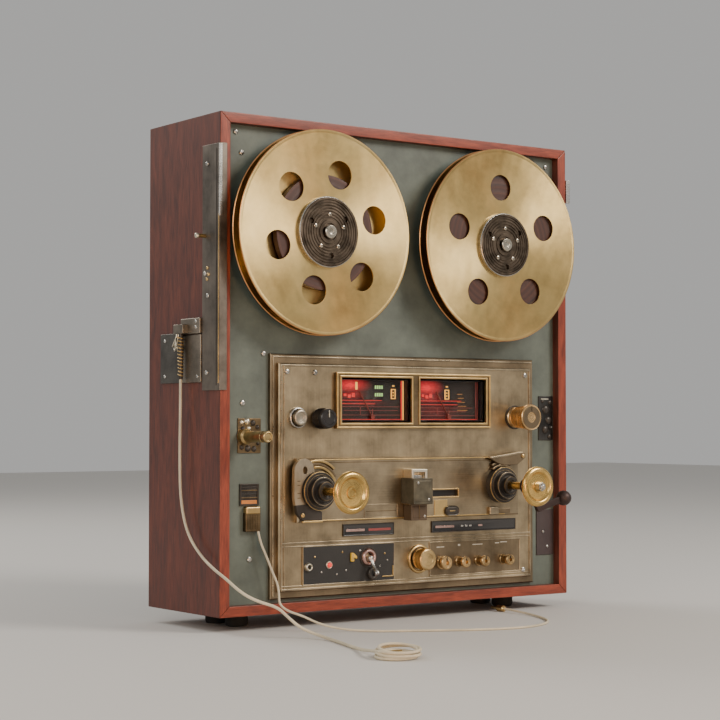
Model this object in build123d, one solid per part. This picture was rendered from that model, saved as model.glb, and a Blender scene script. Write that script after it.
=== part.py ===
from build123d import *
import math
import os

# Reel to reel tape deck in a wooden cabinet. Millimetres, +Z up, the front faces -Y.
# Working frame: x from the cabinet's centre line, y from the plane of the cabinet's front
# edges (positive towards the back), z from the cabinet's underside. put() moves every piece
# to the row's frame, whose origin is the bottom centre of the box round the deck.

# cabinet
CAB_W = 388.0
CAB_H = 425.0
CAB_D = 121.0
SIDE_T = 10.0
TOP_T = 9.0
BACK_T = 3.0
FOOT_H = 13.0
FOOT_R = 10.0
FOOT_INSET = 44.0
FOOT_EDGE = 1.5

# back cover: slots (x, z of the lowest and highest, pitch, opening), mains inlet (from the inner side, from the underside)
VENT_X = (-70.0, 70.0)
VENT_Z = (250, 341)
VENT_PITCH = 15
VENT_TALL = 5.0
INLET_FROM_SIDE = 30.0
INLET_LOW = 30.0
INLET_SIZE = (30.0, 20.0)
INLET_RIM = 3.0
INLET_LIP = 2.0
INLET_D = 22.0
INLET_WELL = 16.0
PIN_R = 1.2
PIN_L = 12.0
PIN_APART = 12.0

# front panels
FACE_RECESS = 8.0
FACE_T = 2.0
STEP_Y = 4.0
PLATE_T = 4.0
PLATE_X = (-135.0, 149.0)
PLATE_Z = (18.0, 214.0)
STEP_RIM = 6.0
STEP_TOP = 8.0
STEP_EDGE = 1.0
PLATE_EDGE = 1.2
SCREW_HEAD_R = 2.4
SCREW_HEAD_T = 1.4
SCREW_SHANK_R = 1.2
SCREW_GRIP = 4.0

# reels and their drive
REEL_R = 88.9
REEL_X = 98.6
REEL_TOP_GAP = 98.5
FLANGE_T = 1.5
FLANGE_GAP = 9.0
REEL_FRONT = -19.5
TAPE_W = 6.3
CORE_R = 28.0
PACK_R = {"supply": 50.0, "takeup": 68.0}
HUB_R = {"supply": 30.0, "takeup": 28.5}
HUB_PROUD = 4.0
WINDOWS = {"supply": (6, 12.5, 52.0, 15.0), "takeup": (5, 12.0, 53.0, 20.5)}
SPINDLE_R = 4.0
TABLE_R = 34.0
TABLE_T = 3.0
BOLT_R = 6.0
BOLT_T = 3.0
MOTOR_R = 36.0
MOTOR_L = 46.0
SHAFT_GAP = 0.05
HOLE_GAP = 0.5
CAPSTAN_MOTOR_R = 28.0
CAPSTAN_MOTOR_L = 40.0
SHAFT_SHORT = 6.0

# meters
METER_Z = (162.5, 202.5)
METER_X = ((-72.0, 5.0), (14.5, 91.5))
BEZEL_RIM = 5.5
BEZEL_T = 4.0
CASE_WALL = 1.5
CASE_D = 26.0
DIAL_DEPTH = 7.0
GLASS_T = 1.5
NEEDLE_L = 27.0
NEEDLE_PIVOT_R = 0.8
NEEDLE_PIVOT_L = 6.0
NEEDLE_PIVOT_UP = 4.0
NEEDLE_HUB = (2.2, 3.0)
NEEDLE_W = 0.8
NEEDLE_T = 1.0
NEEDLE_REST = 32.0

# head cover and its posts
COVER_X = (-119.0, 130.0)
COVER_Z = (77.0, 132.0)
COVER_T = 5.0
POSTS = {"capstan": (-100.5, 104.0), "crank": (106.0, 105.0)}
POST_R = 3.5
COLLAR_STEPS = ((16.5, 8.0), (12.0, 5.0), (8.0, 4.0))
DISC_R = 18.0
DISC_FRONT = -61.0
DISC_T = 4.0
DISC_BOSS = (6.0, 12.0)
CRANK_ELBOW = (121.0, 84.5)
CRANK_BALL = (151.3, 93.1)
CRANK_BALL_R = 7.0
CRANK_ARM = (6.0, 4.0)
OVAL_AT = (48.4, 82.8)
OVAL_SIZE = (15.8, 8.8)
OVAL_PROUD = 2.5
BRACKET_T = 4.0
WING_T = 6.0
BRACKET_FOOT = ((-14.0, 12.0), (-27.0, -20.0), 3.0)
BRACKET_SLOT = (9.0, 4.0)
BRACKET_SLOT_AT = (-14.0, 21.0)
BRACKET_TOP = (-14.2, 17.6, 10.3)
COLLAR_GAP = 0.2
DISC_RIM = 4.0
DISC_DISH = 1.8
DISC_EDGE = 1.5
NUT_R = 4.2
NUT_T = 5.0
LEVER_HUB_R = 7.0
PRESS_GAP = 0.3

# jack panel and the knobs on the control plate
JACK_X = (-110.5, -13.5)
JACK_Z = (23.5, 55.7)
JACK_T = 1.5
KNOB_SHAFT_R = 1.5
SHAFT_PAST = 4.0
KNOB_GAP = 1.0
LEVEL_AT = (128.4, 167.7)
LEVEL_R = (9.0, 12.0)
LEVEL_L = 24.0
MODE_AT = (-93.7, 166.4)
MODE_R = 9.0
MODE_L = 16.0
PUSH_AT = (-116.5, 167.0)
PUSH_R = 7.0
PUSH_OUT = 7.0
PUSH_RING = (9.2, 3.0)
PUSH_TRAVEL_ROOM = 3.5
OUTPUT_AT = (15.5, 40.4)
OUTPUT_R = 9.5
OUTPUT_L = 14.0
OUTPUT_GAP = 2.6
OUTPUT_RING = (13.0, 2.0)
SMALL_GAP = 0.6
SMALL_AT = ((41.0, 36.0, 6.2, 9.0), (61.3, 36.0, 5.0, 12.0), (84.2, 36.0, 5.0, 12.0), (113.7, 36.0, 5.0, 12.0))
TOGGLE_AT = (-42.0, 44.5)
TOGGLE_BORE_R = 3.6
TOGGLE_RING = (7.8, 3.0)
TOGGLE_BALL_R = 3.2
TOGGLE_OUT = 2.5
TOGGLE_TILT = 38.0
TOGGLE_STICK = (2.6, 1.6, 18.0)
PHONE_AT = (-106.0, 38.6)
PHONE_RING = (3.9, 2.4, 3.5)
BLANK_AT = (-38.0, 30.0)
BLANK_RING = (6.0, 2.0, 4.0)
LAMP_AT = (-84.0, 39.4)
LAMP_SIZE = (2.6, 3.0)
TAB = ((-62.0, -58.0), (40.0, 48.0), 2.0)
STRIP_T = 1.2
WINDOW_STRIPS = ((-68.0, -14.0, 64.0, 73.4), (30.0, 128.0, 64.0, 73.0))

# head housing on the cover: x, z and how far each block stands out
HOUSING = (((-8.5, 13.0), (90.5, 113.5), 19.0), ((-6.0, 12.0), (76.0, 90.5), 12.0))
CAP = ((-6.0, 11.5), (113.5, 121.5), 13.0)
CAP_GAP = ((-3.5, 9.0), (113.5, 118.5), 3.0)
TAPE_SLOT = ((23.6, 56.3), (96.2, 101.8))

POST_OUT = 38.0
GUIDE_R = 4.8
GUIDE_FLANGE = (6.5, 4.0)
GUIDE_AT = (18.0, 151.0)
GUIDE_EDGE = 0.8

# trim plates: x from the inner side board, z from the underside, and their thickness
TRIM_T = 1.5
RELIEF_PLATE = ((12.0, 35.0), (137.0, 166.5))
SLOT_PLATE = ((14.0, 33.0), (92.5, 111.0))
SLOT_OPENING = ((17.0, 30.0), (96.0, 106.0))
UPPER_TRIM = ((-19.0, -1.0), (146.0, 188.0))
LOWER_TRIM = ((-22.0, -1.0), (37.0, 80.0))

# insides
TRANSFORMER_X = (-30.0, 40.0)
TRANSFORMER_D = (62.0, 12.0)
TRANSFORMER_H = 58.0
WINDING_X = (-18.0, 28.0)
WINDING_D = (70.0, 4.0)
WINDING_Z = (10.0, 48.0)
BOARD_X = (-120.0, 130.0)
BOARD_Z = (110.0, 215.0)
BOARD_T = 1.6
BOARD_OFF = 10.4
BOARD_POST_R = 3.0
BOARD_POST_IN = (10.0, 8.0)
CAPACITORS = ((-80.0, -55.0, -30.0), 150.0, 8.0, 25.0)
CHIPS = ((20.0, 50.0, 80.0), 18.0, (160.0, 190.0), 8.0)

# side plate, cord bracket and fittings: y and z of each flat piece, and how far it stands out of the board
SIDE_PLATE_T = 1.5
SIDE_PLATE_Y = (-1.2, 27.0)
SIDE_PLATE_LOW = 190.0
SIDE_PLATE_TOP_GAP = 27.0
SIDE_LAP = 6.0
BRACKET_WING = ((60.0, 98.0), (197.0, 240.0), 1.5)
BRACKET_BOX = ((28.0, 60.0), (197.0, 252.0), 2.4)
BRACKET_LID = ((28.0, 60.0), (248.0, 252.0), 4.0)
EYE_Y = (46.0, 64.0)
EYE_OUT = 9.0
SIDE_SCREWS = ((19.0, 382.0), (26.0, 289.0), (17.6, 270.0), (19.4, 205.0))
SIDE_SCREW = (2.2, 1.4)
PEG_AT = (23.0, 321.0)
PEG_SIZE = (2.0, 9.5)
CLIP_Y = (-1.0, 6.0)
CLIP_Z = (374.0, 396.0)
CLIP_OUT = 5.0
CLIP_WALL = (1.5, 2.0, 4.0)
SLEEVE_RINGS = 8
SLEEVE_PITCH = 4.5
SLEEVE_R = (3.4, 0.14, 0.7)
SLEEVE_END = (2.0, 200.0)

# side fittings and cords
CORD_R = 1.25
EYE_Z = (238.0, 247.0)
NECK_R = 2.2
CORD_X = -200.0
CORD_Y = 55.0
COIL_AT = (-167.1, -211.2)
COIL_R = (13.2, 18.3)
COIL_H = 12.4
WIRE_R = 1.0
FRONT_PLUG_X = (-166.5, -151.5)
FRONT_PLUG_Y = 2.5
FRONT_PLUG_Z = (70.6, 91.7)
CABLE_PLUG_R = 3.0
COIL_PLUG_L = 18.0
COIL_PLUG_OFF = (-2.0, 3.2)
WIRE_PLUG_L = 20.0
FRONT_PLUG_EDGE = 1.5

# route points: x, y and height above the floor the deck stands on
CORD_ROUTE = [
    (CORD_X, CORD_Y, 213), (CORD_X, CORD_Y, 186), (CORD_X, 56, 146), (CORD_X, 54.5, 110),
    (CORD_X, 44, 83), (CORD_X, 24, 66), (-200.5, 0, 54.5), (-198, -16, 47.5),
    (-192, -30, 36.7), (-183.3, -40, 30), (-168.7, -50, 24.9), (-163.4, -56, 17.5),
    (-155.1, -62, 8.6), (-147.5, -71, 4), (-145.3, -91, 1.35), (-150.5, -111, 1.35),
    (-156.5, -130.3, 1.35), (-163, -153, 1.5), (-172, -174, 2.8), (-180, -193, 5.0),
    (-184.1, -211.2, 6.3),
]
WIRE_ROUTE = [
    (-153.5, 4, 83.6), (-152.6, 1.5, 74), (-149.5, -1.8, 64.4), (-144.4, -3, 51), (-139.6, -4.2, 40.4),
    (-138.3, -5.5, 31), (-140, -8, 22.5), (-136.5, -15, 17), (-126.6, -24, 13), (-117, -35, 6.5),
    (-103, -46, 2.4), (-86, -62, 1.1), (-62, -77, 1.1), (-34, -92, 1.1), (-4, -108, 1.1),
    (31, -118, 1.1), (63, -112, 1.1), (88, -94, 1.1), (103, -68, 1.1), (111, -42, 1.4),
    (113, -22, 2.2), (113, -4, 3.0),
]

FRONT_REACH = -DISC_FRONT + 5.0
BACK_REACH = CAB_D + 2.0
LEFT_REACH = CAB_W / 2 + 11.0
RIGHT_REACH = CAB_W / 2 + 5.0
SHIFT = ((LEFT_REACH - RIGHT_REACH) / 2, (FRONT_REACH - BACK_REACH) / 2, FOOT_H)

IN_X = CAB_W / 2 - SIDE_T
IN_Z = (TOP_T, CAB_H - TOP_T)
FACE_BACK = FACE_RECESS + FACE_T
REEL_Z = CAB_H - REEL_TOP_GAP


def put(name, shape):
    """Moves a piece to the row's frame and writes it."""
    export_step(Pos(*SHIFT) * shape, f"parts/{name}.step")


def block(x, y, z):
    """A box from (low, high) pairs."""
    mid = [(a + b) / 2 for a, b in (x, y, z)]
    return Pos(*mid) * Box(x[1] - x[0], y[1] - y[0], z[1] - z[0])


def rod(x, z, r, y0, y1):
    """A cylinder along Y."""
    return Pos(x, (y0 + y1) / 2, z) * Rot(90, 0, 0) * Cylinder(r, y1 - y0)


def bar(points, y0, y1):
    """A flat outline in X and Z, extruded from y0 to y1."""
    outline = make_face(Polyline([(x, 0, z) for x, z in points], close=True))
    solid = extrude(outline, y1 - y0, dir=(0, 1, 0))
    return Pos(0, y0, 0) * solid


def cut(shape, *tools):
    for tool in tools:
        shape = shape - tool
    return shape


def join(*shapes):
    """Separate solids as one node."""
    return Compound([s for shape in shapes for s in shape.solids()])


def softened(shape, size, pick):
    """Chamfers the picked edges."""
    return chamfer(pick(shape.edges()), size)


def front_edges(y):
    return lambda edges: edges.filter_by(lambda e: all(abs(v.Y - y) < 1e-4 for v in e.vertices()))


def knob(x, z, r, y_front, y_back, shaft_r=KNOB_SHAFT_R, shaft_end=FACE_BACK + SHAFT_PAST):
    """A round knob with a chamfered front rim on its own shaft."""
    body = rod(x, z, r, y_front, y_back)
    body = softened(body, min(0.8, r / 6), front_edges(y_front))
    return body + rod(x, z, shaft_r, y_back, shaft_end)


# ---------------------------------------------------------------- cabinet

def make_cabinet():
    outer_x, bottom, top = CAB_W / 2, 0, CAB_H
    for name, s in (("cabinet_left_side", -1), ("cabinet_right_side", 1)):
        points = [(s * outer_x, bottom), (s * outer_x, top), (s * IN_X, IN_Z[1]), (s * IN_X, IN_Z[0])]
        put(name, bar(points, 0, CAB_D))
    for name, outer, inner in (("cabinet_top", top, IN_Z[1]), ("cabinet_bottom", bottom, IN_Z[0])):
        points = [(-outer_x, outer), (outer_x, outer), (IN_X, inner), (-IN_X, inner)]
        put(name, bar(points, 0, CAB_D))
    feet = []
    for x in (-CAB_W / 2 + FOOT_INSET, CAB_W / 2 - FOOT_INSET):
        for y in (FOOT_INSET, CAB_D - FOOT_INSET):
            foot = Pos(x, y, -FOOT_H / 2) * Cylinder(FOOT_R, FOOT_H)
            feet.append(chamfer(foot.edges().sort_by(Axis.Z)[0], FOOT_EDGE))
    put("cabinet_feet", join(*feet))


def inlet_place():
    x = IN_X - INLET_FROM_SIDE
    return (x - INLET_SIZE[0], x), (INLET_LOW, INLET_LOW + INLET_SIZE[1])


def make_back():
    cover = block((-IN_X, IN_X), (CAB_D - BACK_T, CAB_D), IN_Z)
    slots = [block(VENT_X, (CAB_D - BACK_T, CAB_D), (z, z + VENT_TALL)) for z in range(*VENT_Z, VENT_PITCH)]
    inlet_x, inlet_z = inlet_place()
    opening = block(inlet_x, (CAB_D - BACK_T, CAB_D), inlet_z)
    put("back_cover", cut(cover, *slots, opening))
    body = block(inlet_x, (CAB_D - INLET_D, CAB_D), inlet_z)
    lip_x, lip_z = [(pair[0] - INLET_RIM, pair[1] + INLET_RIM) for pair in (inlet_x, inlet_z)]
    well_x, well_z = [(pair[0] + INLET_RIM, pair[1] - INLET_RIM) for pair in (inlet_x, inlet_z)]
    lip = block(lip_x, (CAB_D, CAB_D + INLET_LIP), lip_z)
    floor = CAB_D - INLET_WELL
    well = block(well_x, (floor, CAB_D + INLET_LIP), well_z)
    mid_x, mid_z = sum(inlet_x) / 2, sum(inlet_z) / 2
    pins = [rod(mid_x + dx, mid_z, PIN_R, floor, floor + PIN_L) for dx in (-PIN_APART / 2, PIN_APART / 2)]
    put("rear_inlet", cut(body + lip, well) + pins[0] + pins[1])


# ---------------------------------------------------------------- face and control plates

SHAFTS = (LEVEL_AT, MODE_AT, OUTPUT_AT, *(s[:2] for s in SMALL_AT))


def meter_cuts(y0, y1, room=0.0):
    return [block((x0 - room, x1 + room), (y0, y1), (METER_Z[0] - room, METER_Z[1] + room)) for x0, x1 in METER_X]


def shaft_cuts(y0, y1, gap):
    small = [rod(x, z, KNOB_SHAFT_R + gap, y0, y1) for x, z in SHAFTS]
    return small + [rod(x, z, POST_R + gap, y0, y1) for x, z in POSTS.values()]


PLATE_SCREWS = ((8.0, -7.4), (37.0, -7.8), (-7.7, -7.0), (-10.5, 7.0))


def plate_screws():
    """Places of the control plate's screws, each measured in from its own corner."""
    tops = [(PLATE_X[0] + dx if dx > 0 else PLATE_X[1] + dx, PLATE_Z[1] + dz) for dx, dz in PLATE_SCREWS[:3]]
    return tops + [(PLATE_X[1] + PLATE_SCREWS[3][0], PLATE_Z[0] + PLATE_SCREWS[3][1])]


def face_screws():
    """Places of the face panel's screws, measured in from its sides and down from its top, or up from the underside."""
    x, z = IN_X, IN_Z[1]
    high = [(-x + 9.6, z - 6), (-x + 15.5, z - 23.3), (x - 9, z - 8)]
    low = [(-x + 17, 179.6), (-x + 24, 47), (-x + 38, 222)]
    return high + low


def make_plates():
    face = block((-IN_X, IN_X), (FACE_RECESS, FACE_BACK), IN_Z)
    holes = [rod(s * REEL_X, REEL_Z, SPINDLE_R + HOLE_GAP, FACE_RECESS, FACE_BACK) for s in (-1, 1)]
    holes += meter_cuts(FACE_RECESS, FACE_BACK, HOLE_GAP)
    holes += shaft_cuts(FACE_RECESS, FACE_BACK, HOLE_GAP)
    holes += [rod(x, z, SCREW_SHANK_R, FACE_RECESS, FACE_BACK) for x, z in face_screws()]
    put("face_panel", cut(face, *holes))

    step_x = (PLATE_X[0] - STEP_RIM, PLATE_X[1] + STEP_RIM)
    step = block(step_x, (STEP_Y, FACE_RECESS), (PLATE_Z[0] - STEP_RIM, PLATE_Z[1] + STEP_TOP))
    step = softened(step, STEP_EDGE, front_edges(STEP_Y))
    holes = meter_cuts(STEP_Y, FACE_RECESS, HOLE_GAP) + shaft_cuts(STEP_Y, FACE_RECESS, HOLE_GAP)
    holes += [rod(x, z, SCREW_SHANK_R, STEP_Y, FACE_RECESS) for x, z in plate_screws()]
    holes.append(rod(*PUSH_AT, PUSH_R + HOLE_GAP, STEP_Y, FACE_RECESS))
    put("control_backplate", cut(step, *holes))

    plate = block(PLATE_X, (STEP_Y - PLATE_T, STEP_Y), PLATE_Z)
    plate = softened(plate, PLATE_EDGE, front_edges(STEP_Y - PLATE_T))
    holes = meter_cuts(STEP_Y - PLATE_T, STEP_Y) + shaft_cuts(STEP_Y - PLATE_T, STEP_Y, SHAFT_GAP)
    holes += [rod(x, z, SCREW_SHANK_R, STEP_Y - PLATE_T, STEP_Y) for x, z in plate_screws()]
    holes.append(rod(*PUSH_AT, PUSH_R + PRESS_GAP, STEP_Y - PLATE_T, STEP_Y))
    put("control_plate", cut(plate, *holes))

    screws = []
    for places, y, length in ((plate_screws(), STEP_Y - PLATE_T, PLATE_T + SCREW_GRIP), (face_screws(), FACE_RECESS, FACE_T)):
        for x, z in places:
            head = softened(rod(x, z, SCREW_HEAD_R, y - SCREW_HEAD_T, y), 0.5, front_edges(y - SCREW_HEAD_T))
            screws.append(head + rod(x, z, SCREW_SHANK_R, y, y + length))
    put("panel_screws", join(*screws))


# ---------------------------------------------------------------- meters

def make_meters():
    x = (METER_X[0][0] - BEZEL_RIM, METER_X[1][1] + BEZEL_RIM)
    z = (METER_Z[0] - BEZEL_RIM + 0.5, METER_Z[1] + BEZEL_RIM - 1)
    front = STEP_Y - PLATE_T
    bezel = softened(block(x, (front - BEZEL_T, front), z), 1.2, front_edges(front - BEZEL_T))
    put("meter_bezel", cut(bezel, *meter_cuts(front - BEZEL_T, front)))
    cases, panes = [], []
    for name, (x0, x1) in zip(("left", "right"), METER_X):
        dial = front + DIAL_DEPTH
        case = block((x0, x1), (front, front + CASE_D), METER_Z)
        room_z = (METER_Z[0] + CASE_WALL, METER_Z[1] - CASE_WALL)
        case = case - block((x0 + CASE_WALL, x1 - CASE_WALL), (front, dial), room_z)
        px, pz = (x0 + x1) / 2, METER_Z[0] + CASE_WALL + NEEDLE_PIVOT_UP
        case = case - rod(px, pz, NEEDLE_PIVOT_R + SHAFT_GAP, dial, dial + NEEDLE_PIVOT_L)
        cases.append(case)
        panes.append(block((x0, x1), (front - GLASS_T, front), METER_Z))
        hub_r, hub_t = NEEDLE_HUB
        needle = rod(px, pz, hub_r, dial - 1 - hub_t, dial - 1) + rod(px, pz, NEEDLE_PIVOT_R, dial - 1, dial - 1 + NEEDLE_PIVOT_L)
        back = dial - 2
        needle = needle + block((px - NEEDLE_W / 2, px + NEEDLE_W / 2), (back - NEEDLE_T, back), (pz, pz + NEEDLE_L))
        put(f"{name}_meter_needle", Pos(px, 0, pz) * (Rot(0, -NEEDLE_REST, 0) * (Pos(-px, 0, -pz) * needle)))
    put("meter_cases", join(*cases))
    put("meter_glass", join(*panes))


# ---------------------------------------------------------------- head cover

def collar(x, z):
    """The stepped flange that a post passes through."""
    shape, y = None, STEP_Y - PLATE_T - COVER_T
    for r, length in COLLAR_STEPS:
        step = rod(x, z, r, y - length, y)
        shape = step if shape is None else shape + step
        y -= length
    return shape - rod(x, z, POST_R + SHAFT_GAP, y, STEP_Y - PLATE_T - COVER_T)


def make_head():
    back = STEP_Y - PLATE_T
    front = back - COVER_T
    cover = softened(block(COVER_X, (front, back), COVER_Z), 1.5, front_edges(front))
    cuts = [rod(x, z, POST_R + HOLE_GAP, front, back) for x, z in POSTS.values()]
    cuts.append(block(TAPE_SLOT[0], (front, back - 1), TAPE_SLOT[1]))
    cuts.append(oval(PRESS_GAP, front, back))
    put("head_cover", cut(cover, *cuts))
    put("oval_button", oval(0.0, front - OVAL_PROUD, back - 1.2))
    put("shaft_collars", join(*(collar(x, z) for x, z in POSTS.values())))

    blocks = [softened(block(x, (front - out, front), z), 1.0, front_edges(front - out)) for x, z, out in HOUSING]
    put("head_housing", blocks[0] + blocks[1])
    cap_x, cap_z, cap_out = CAP
    gap_x, gap_z, gap_left = CAP_GAP
    put("head_cap", block(cap_x, (front - cap_out, front), cap_z) - block(gap_x, (front - cap_out, front - gap_left), gap_z))

    x, z = POSTS["capstan"]
    dx, dz, r = BRACKET_TOP
    top = [(x + dx + r * math.cos(math.radians(a)), z + dz + r * math.sin(math.radians(a))) for a in range(40, 181, 10)]
    left = bar(top + [(x - 24.5, z - 16), (x - 15, z - 26), (x + 5, z - 26), (x + 5, z + 8)], front - BRACKET_T, front)
    left = left - rod(x, z, COLLAR_STEPS[0][0] + COLLAR_GAP, front - BRACKET_T, front)
    slot = Pos(x + BRACKET_SLOT_AT[0], front, z + BRACKET_SLOT_AT[1]) * (Rot(90, 0, 0) * extrude(SlotOverall(*BRACKET_SLOT), BRACKET_T))
    left = max((left - slot).solids(), key=lambda solid: solid.volume)
    x, z = POSTS["crank"]
    wing = [(x - 15, z + 26), (x + 26, z + 30), (x + 28, z + 24), (x + 18, z + 18), (x - 4, z + 19)]
    wing = bar(wing, front - WING_T, front)
    foot_x, foot_z, foot_t = BRACKET_FOOT
    foot = block((x + foot_x[0], x + foot_x[1]), (front - foot_t, front), (z + foot_z[0], z + foot_z[1]))
    put("end_brackets", join(left, wing, foot))


def oval(gap, y0, y1):
    x, z = OVAL_AT
    profile = SlotOverall(OVAL_SIZE[0] + 2 * gap, OVAL_SIZE[1] + 2 * gap)
    return Pos(x, y1, z) * (Rot(90, 0, 0) * extrude(profile, y1 - y0))


def disc(x, z, end):
    """A turned brass disc with a dished face on a long shaft."""
    face = DISC_FRONT + DISC_T
    wheel = rod(x, z, DISC_R, DISC_FRONT, face)
    wheel = softened(wheel, DISC_EDGE, front_edges(DISC_FRONT))
    wheel = wheel - rod(x, z, DISC_R - DISC_RIM, DISC_FRONT, DISC_FRONT + DISC_DISH)
    boss_r, boss_l = DISC_BOSS
    return wheel + rod(x, z, boss_r, face, face + boss_l) + rod(x, z, POST_R, face + boss_l, end)


def make_posts():
    put("capstan_disc", disc(*POSTS["capstan"], CAPSTAN_END))
    x, z = POSTS["crank"]
    nut = Pos(x, DISC_FRONT, z) * (Rot(90, 0, 0) * extrude(RegularPolygon(NUT_R, 6), NUT_T, both=True))
    nut = nut & block((x - 6, x + 6), (DISC_FRONT - NUT_T, DISC_FRONT + 2), (z - 6, z + 6))
    put("crank_disc", disc(x, z, FACE_BACK + SHAFT_PAST) + nut)
    y0 = DISC_FRONT + DISC_T + DISC_BOSS[1]
    wide, thick = CRANK_ARM
    arm = rod(x, z, LEVER_HUB_R, y0, y0 + thick) + rod(*CRANK_ELBOW, wide / 2, y0, y0 + thick)
    for (ax, az), (bx, bz) in (((x, z), CRANK_ELBOW), (CRANK_ELBOW, CRANK_BALL)):
        angle = math.degrees(math.atan2(bz - az, bx - ax))
        run = block((0, math.hypot(bx - ax, bz - az)), (y0, y0 + thick), (-wide / 2, wide / 2))
        arm = arm + Pos(ax, 0, az) * (Rot(0, -angle, 0) * run)
    ball = Pos(CRANK_BALL[0], y0 + thick / 2, CRANK_BALL[1]) * Sphere(CRANK_BALL_R)
    put("crank_lever", (arm + ball) - rod(x, z, POST_R, y0, y0 + thick))


# ---------------------------------------------------------------- jack panel, knobs, switches

def make_controls():
    front = STEP_Y - PLATE_T
    panel_front = front - JACK_T
    x, z = TOGGLE_AT
    put("jack_panel", block(JACK_X, (panel_front, front), JACK_Z) - rod(x, z, TOGGLE_BORE_R, panel_front, front))

    def ring(place, r, bore, out, base):
        return rod(*place, r, base - out, base) - rod(*place, bore, base - out, base)

    phone_r, phone_bore, phone_out = PHONE_RING
    blank_r, blank_bore, blank_out = BLANK_RING
    rings = [
        ring(PHONE_AT, phone_r, phone_bore, phone_out, panel_front),
        ring(TOGGLE_AT, TOGGLE_RING[0], TOGGLE_BORE_R, TOGGLE_RING[1], panel_front),
        ring(BLANK_AT, blank_r, blank_bore, blank_out, panel_front),
        ring(PUSH_AT, PUSH_RING[0], PUSH_R + PRESS_GAP, PUSH_RING[1], front),
        ring(OUTPUT_AT, OUTPUT_RING[0], KNOB_SHAFT_R + HOLE_GAP, OUTPUT_RING[1], front),
    ]
    put("socket_rings", join(*rings))
    tab_x, tab_z, tab_t = TAB
    lamps = [rod(*LAMP_AT, LAMP_SIZE[0], panel_front - LAMP_SIZE[1], panel_front), block(tab_x, (panel_front - tab_t, panel_front), tab_z)]
    strips = [block((x0, x1), (front - STRIP_T, front), (z0, z1)) for x0, x1, z0, z1 in WINDOW_STRIPS]
    put("lamp_windows", join(*lamps, *strips))

    put("push_button", rod(*PUSH_AT, PUSH_R, front - PUSH_OUT, FACE_RECESS - PUSH_TRAVEL_ROOM))
    put("mode_knob", knob(*MODE_AT, MODE_R, front - MODE_L, front - KNOB_GAP))
    x0, z0 = LEVEL_AT
    level_back = front - KNOB_GAP
    body = Pos(x0, level_back - LEVEL_L / 2, z0) * (Rot(90, 0, 0) * Cone(LEVEL_R[0], LEVEL_R[1], LEVEL_L))
    body = softened(body, 1.0, front_edges(level_back - LEVEL_L))
    put("level_knob", body + rod(x0, z0, KNOB_SHAFT_R, level_back, FACE_BACK + SHAFT_PAST))
    put("output_knob", knob(*OUTPUT_AT, OUTPUT_R, front - OUTPUT_L, front - OUTPUT_GAP))
    for i, (kx, kz, r, length) in enumerate(SMALL_AT, 1):
        put(f"small_knob_{i}", knob(kx, kz, r, front - length, front - SMALL_GAP))

    pivot = Pos(x, panel_front - TOGGLE_OUT, z)
    wide, narrow, length = TOGGLE_STICK
    lever = Rot(-TOGGLE_TILT, 0, 0) * (Pos(0, 0, -length / 2) * Cone(wide, narrow, length))
    put("toggle_lever", pivot * Sphere(TOGGLE_BALL_R) + pivot * lever)


def make_strips():
    y = (FACE_RECESS - TRIM_T, FACE_RECESS)

    def plate(side, size):
        (x0, x1), z = size
        return block((side + x0, side + x1), y, z)

    slot = plate(-IN_X, SLOT_PLATE) - plate(-IN_X, SLOT_OPENING)
    put("trim_plates", join(plate(-IN_X, RELIEF_PLATE), slot, plate(IN_X, UPPER_TRIM), plate(IN_X, LOWER_TRIM)))
    x, z = GUIDE_AT[0] - IN_X, GUIDE_AT[1]
    flange_r, flange_t = GUIDE_FLANGE
    post = rod(x, z, GUIDE_R, y[0] - POST_OUT, y[0]) + rod(x, z, flange_r, y[0] - flange_t, y[0])
    put("guide_post", softened(post, GUIDE_EDGE, front_edges(y[0] - POST_OUT)))


# ---------------------------------------------------------------- reels

def make_reel(name, sign):
    x, z = sign * REEL_X, REEL_Z
    count, hole_r, pitch_r, phase = WINDOWS[name]
    y1 = REEL_FRONT + FLANGE_T
    y2 = y1 + FLANGE_GAP
    front = rod(x, z, REEL_R, REEL_FRONT, y1) - rod(x, z, SPINDLE_R, REEL_FRONT, y1)
    for i in range(count):
        a = math.radians(phase + i * 360 / count)
        front = front - rod(x + pitch_r * math.cos(a), z + pitch_r * math.sin(a), hole_r, REEL_FRONT, y1)
    back = rod(x, z, REEL_R, y2, y2 + FLANGE_T) - rod(x, z, SPINDLE_R, y2, y2 + FLANGE_T)
    put(f"{name}_flanges", join(front, back))

    core = rod(x, z, CORE_R, y1, y2) - rod(x, z, SPINDLE_R, y1, y2)
    face = rod(x, z, HUB_R[name], REEL_FRONT - HUB_PROUD, REEL_FRONT) - rod(x, z, SPINDLE_R, REEL_FRONT - HUB_PROUD, REEL_FRONT)
    face = softened(face, 0.8, front_edges(REEL_FRONT - HUB_PROUD))
    put(f"{name}_hub", join(core, face))

    mid = (y1 + y2) / 2
    span = (mid - TAPE_W / 2, mid + TAPE_W / 2)
    put(f"{name}_tape_pack", rod(x, z, PACK_R[name], *span) - rod(x, z, CORE_R, *span))

    table = y2 + FLANGE_T
    spindle = rod(x, z, TABLE_R, table, table + TABLE_T)
    spindle = spindle + rod(x, z, SPINDLE_R, REEL_FRONT - HUB_PROUD, FACE_BACK + MOTOR_L - SHAFT_SHORT)
    spindle = spindle + rod(x, z, BOLT_R, REEL_FRONT - HUB_PROUD - BOLT_T, REEL_FRONT - HUB_PROUD)
    put(f"{name}_spindle", spindle)


CAPSTAN_END = FACE_BACK + CAPSTAN_MOTOR_L - SHAFT_SHORT


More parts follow.
